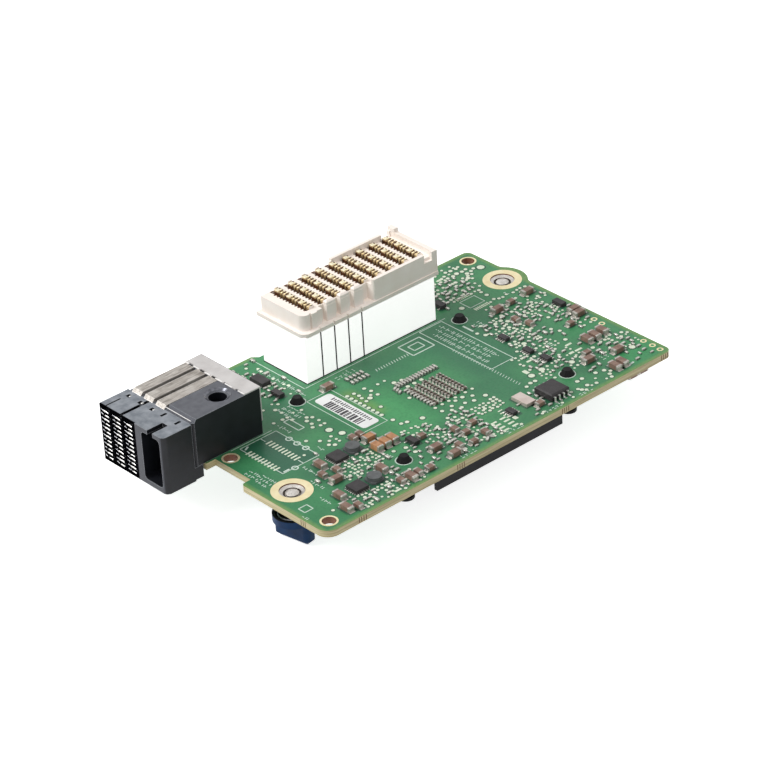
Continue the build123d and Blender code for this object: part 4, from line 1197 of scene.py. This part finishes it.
# Each package: its node, how many feet stand on a side, their stretch and the number of sides.
for name, count, stretch, sides in (
        ("power_controller_1", 6, (1, 1, 1), 4), ("power_controller_2", 6, (1, 1, 1), 4),
        ("interface_chip", 6, (1.2, 1, 1.2), 2), ("drivers", 4, (1.9, 1.2, 2.2), 2)):
    for lo, hi in solids_of(name):
        if name == "drivers":
            lo, hi = (lo[0] + 0.33, lo[1] + 0.2), (hi[0] - 0.33, hi[1] - 0.2)
        for k in range(count):
            x, y = [lo[i] + (k + 0.5) / count * (hi[i] - lo[i]) for i in (0, 1)]
            spots = [(lo[0], y, 0), (hi[0], y, 180), (x, lo[1], 90), (x, hi[1], 270)]
            feet += [(a, b, 0.0, turn, stretch) for a, b, turn in spots[:sides]]
for lo, hi in solids_of("transistors"):
    for x, y, turn in ((lo[0], lo[1] + 0.5, 0), (lo[0], hi[1] - 0.5, 0), (hi[0], centre_of(lo, hi)[1], 180)):
        feet.append((x, y, 0.0, turn, (1.6, 1.3, 1.6)))
drivers = [centre_of(lo, hi) for lo, hi in solids_of("drivers")]
rounded = bricks("driver_bodies", (1.35, 2.5, 0.7), (0.0, 0.0, 0.45), 0.09, drivers,
                 epoxy, "package_black", above(0.7))
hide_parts("drivers")
bricks("package_feet", (0.5, 0.26, 0.12), (-0.15, 0.0, 0.06), 0.03, feet, solder, "lead_tin", above(0.1))

# %% [markdown]
# ## The paper label
# A thermal paper label with rounded corners lies in a printed frame. Its print is a plain field of
# bars, with no figures and nothing to scan.

# %% Label and its bars
lo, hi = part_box("label")
centre = (lo + hi) / 2 / MM
size = (hi - lo) / MM
# Thermal paper is coated and pressed between rollers: white, smooth and dull.
paper = finish("thermal_paper", "#f1f2f0", "#fbfbfa", 3.0, 0.5, 0.65, 0.15, 0.006)
sheet = dress(shaped("paper_label", size, centre, 0.8, standing, 5), paper, "label_paper")
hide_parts("label")
marks = random.Random(11)
bars = []
spot = centre.y - 5.6
while spot < centre.y + 5.4:
    width = marks.choice((0.24, 0.34, 0.5))
    bars.append((centre.x - 0.9, spot, size.z, 0.0, (2.3, width, 1.0)))
    spot += width + marks.choice((0.16, 0.24, 0.36))
spot = centre.y - 6.2
while spot < centre.y + 6.0:
    length = marks.uniform(0.45, 0.65)
    bars.append((centre.x + 1.2, spot, size.z, 0.0, (marks.uniform(0.8, 1.15), length * 0.62, 1.0)))
    spot += length + 0.16
# The head of the printer scorches the coating: dark grey and matt.
scorched = finish("burnt_thermal_print", "#2b292e", "#4a474c", 0.6, 0.6, 0.8, 0.2, 0.004)
spread(press_top(block("bar", (1.0, 1.0, 0.012), (0.0, 0.0, 0.004)), (0.02, 0.002)),
       "label_bars", bars, scorched, "package_black")

# %% [markdown]
# ## Marks on the sawn edge
# Brown cuts through copper show in small groups on the board's edge, where tabs were broken off.

# %% Edge marks
# Cut copper left bare turns brown and keeps only a weak shine.
copper = finish("oxidised_copper", "#5f4a38", "#7c6248", 0.4, 0.5, 0.7, 0.1, 0.02, metallic=0.4,
                stretch=(1, 1, 0.2))
low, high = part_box("circuit_board")
MARK_PITCH, MARK_HEIGHT = 0.62, -0.79
groups = (2.9, 30.0, 60.2, 90.2)
edge_marks = [(x + k * MARK_PITCH, low.y / MM, MARK_HEIGHT) for x in groups for k in range(4)]
edge_marks += [(low.x / MM, -9.4 - k * MARK_PITCH, MARK_HEIGHT, 90.0) for k in range(3)]
bricks("edge_marks", (0.22, 0.06, 1.3), (0, 0, 0), 0.02, edge_marks, copper, "ceramic_brown")

# %% [markdown]
# ## Light and floor
# A studio is a bright room. The world lights the object softly from everywhere, one broad lamp from
# the upper left gives the shape, and the floor and sky look white to the camera and in reflections
# without adding light to the object.

# %% Studio
world = bpy.data.worlds.new("studio")
bpy.context.scene.world = world
world.use_nodes = True
background = world.node_tree.nodes["Background"]
background.inputs["Color"].default_value = (1.0, 1.0, 1.0, 1.0)


def white_rays(owner):
    """One for the rays that should see plain white: from the camera, off gloss and through glass."""
    path = add(owner, "LightPath", {})
    direct = add(owner, "Math", {"operation": "MAXIMUM", 0: path.outputs["Is Camera Ray"],
                                 1: path.outputs["Is Glossy Ray"]})
    return add(owner, "Math", {"operation": "MAXIMUM", 0: direct, 1: path.outputs["Is Transmission Ray"]})


strength = add(world, "MapRange", {"To Min": 0.42, "To Max": 1.0, "Value": white_rays(world)})
connect(world, strength, background.inputs["Strength"])


def lamp(name, toward, distance, size, watts):
    light = bpy.data.lights.new(name, "AREA")
    light.size = size
    light.energy = watts
    body = bpy.data.objects.new(name, light)
    direction = Vector(toward).normalized()
    body.location = AIM + direction * distance
    body.rotation_euler = direction.to_track_quat("Z", "Y").to_euler()
    bpy.context.collection.objects.link(body)


lamp("key", (-0.8, 0.5, 0.95), 0.9, 0.45, 5.4)
lamp("fill", (-0.3, -0.9, 0.6), 1.0, 0.6, 0.6)

FLOOR_GAP = 0.0002
floor_z = cad_box[0][2] - FLOOR_GAP
let_go()
bpy.ops.mesh.primitive_plane_add(size=6.0, location=(0.0, 0.0, floor_z))
floor = bpy.context.object
floor.name = "floor"
# Floor painted matt white: it takes the shadow, and the light it gives off hides its far edge.
paint, place = blank("matt_white_studio_floor", 0.9)
recolour(paint, two_tone(paint, place, "#e6e6e6", "#ececec", 80.0))
glow = add(paint, "Emission", {"Color": (1, 1, 1, 1), "Strength": 0.8})
both = add(paint, "AddShader", {0: shader_of(paint), 1: glow})
choice = add(paint, "MixShader", {0: white_rays(paint), 1: shader_of(paint), 2: both})
connect(paint, choice, paint.node_tree.nodes["Material Output"].inputs["Surface"])
floor.data.materials.append(paint)
bpy.context.scene.view_settings.view_transform = "Standard"
print("floor at", round(floor_z / MM, 2), "mm")
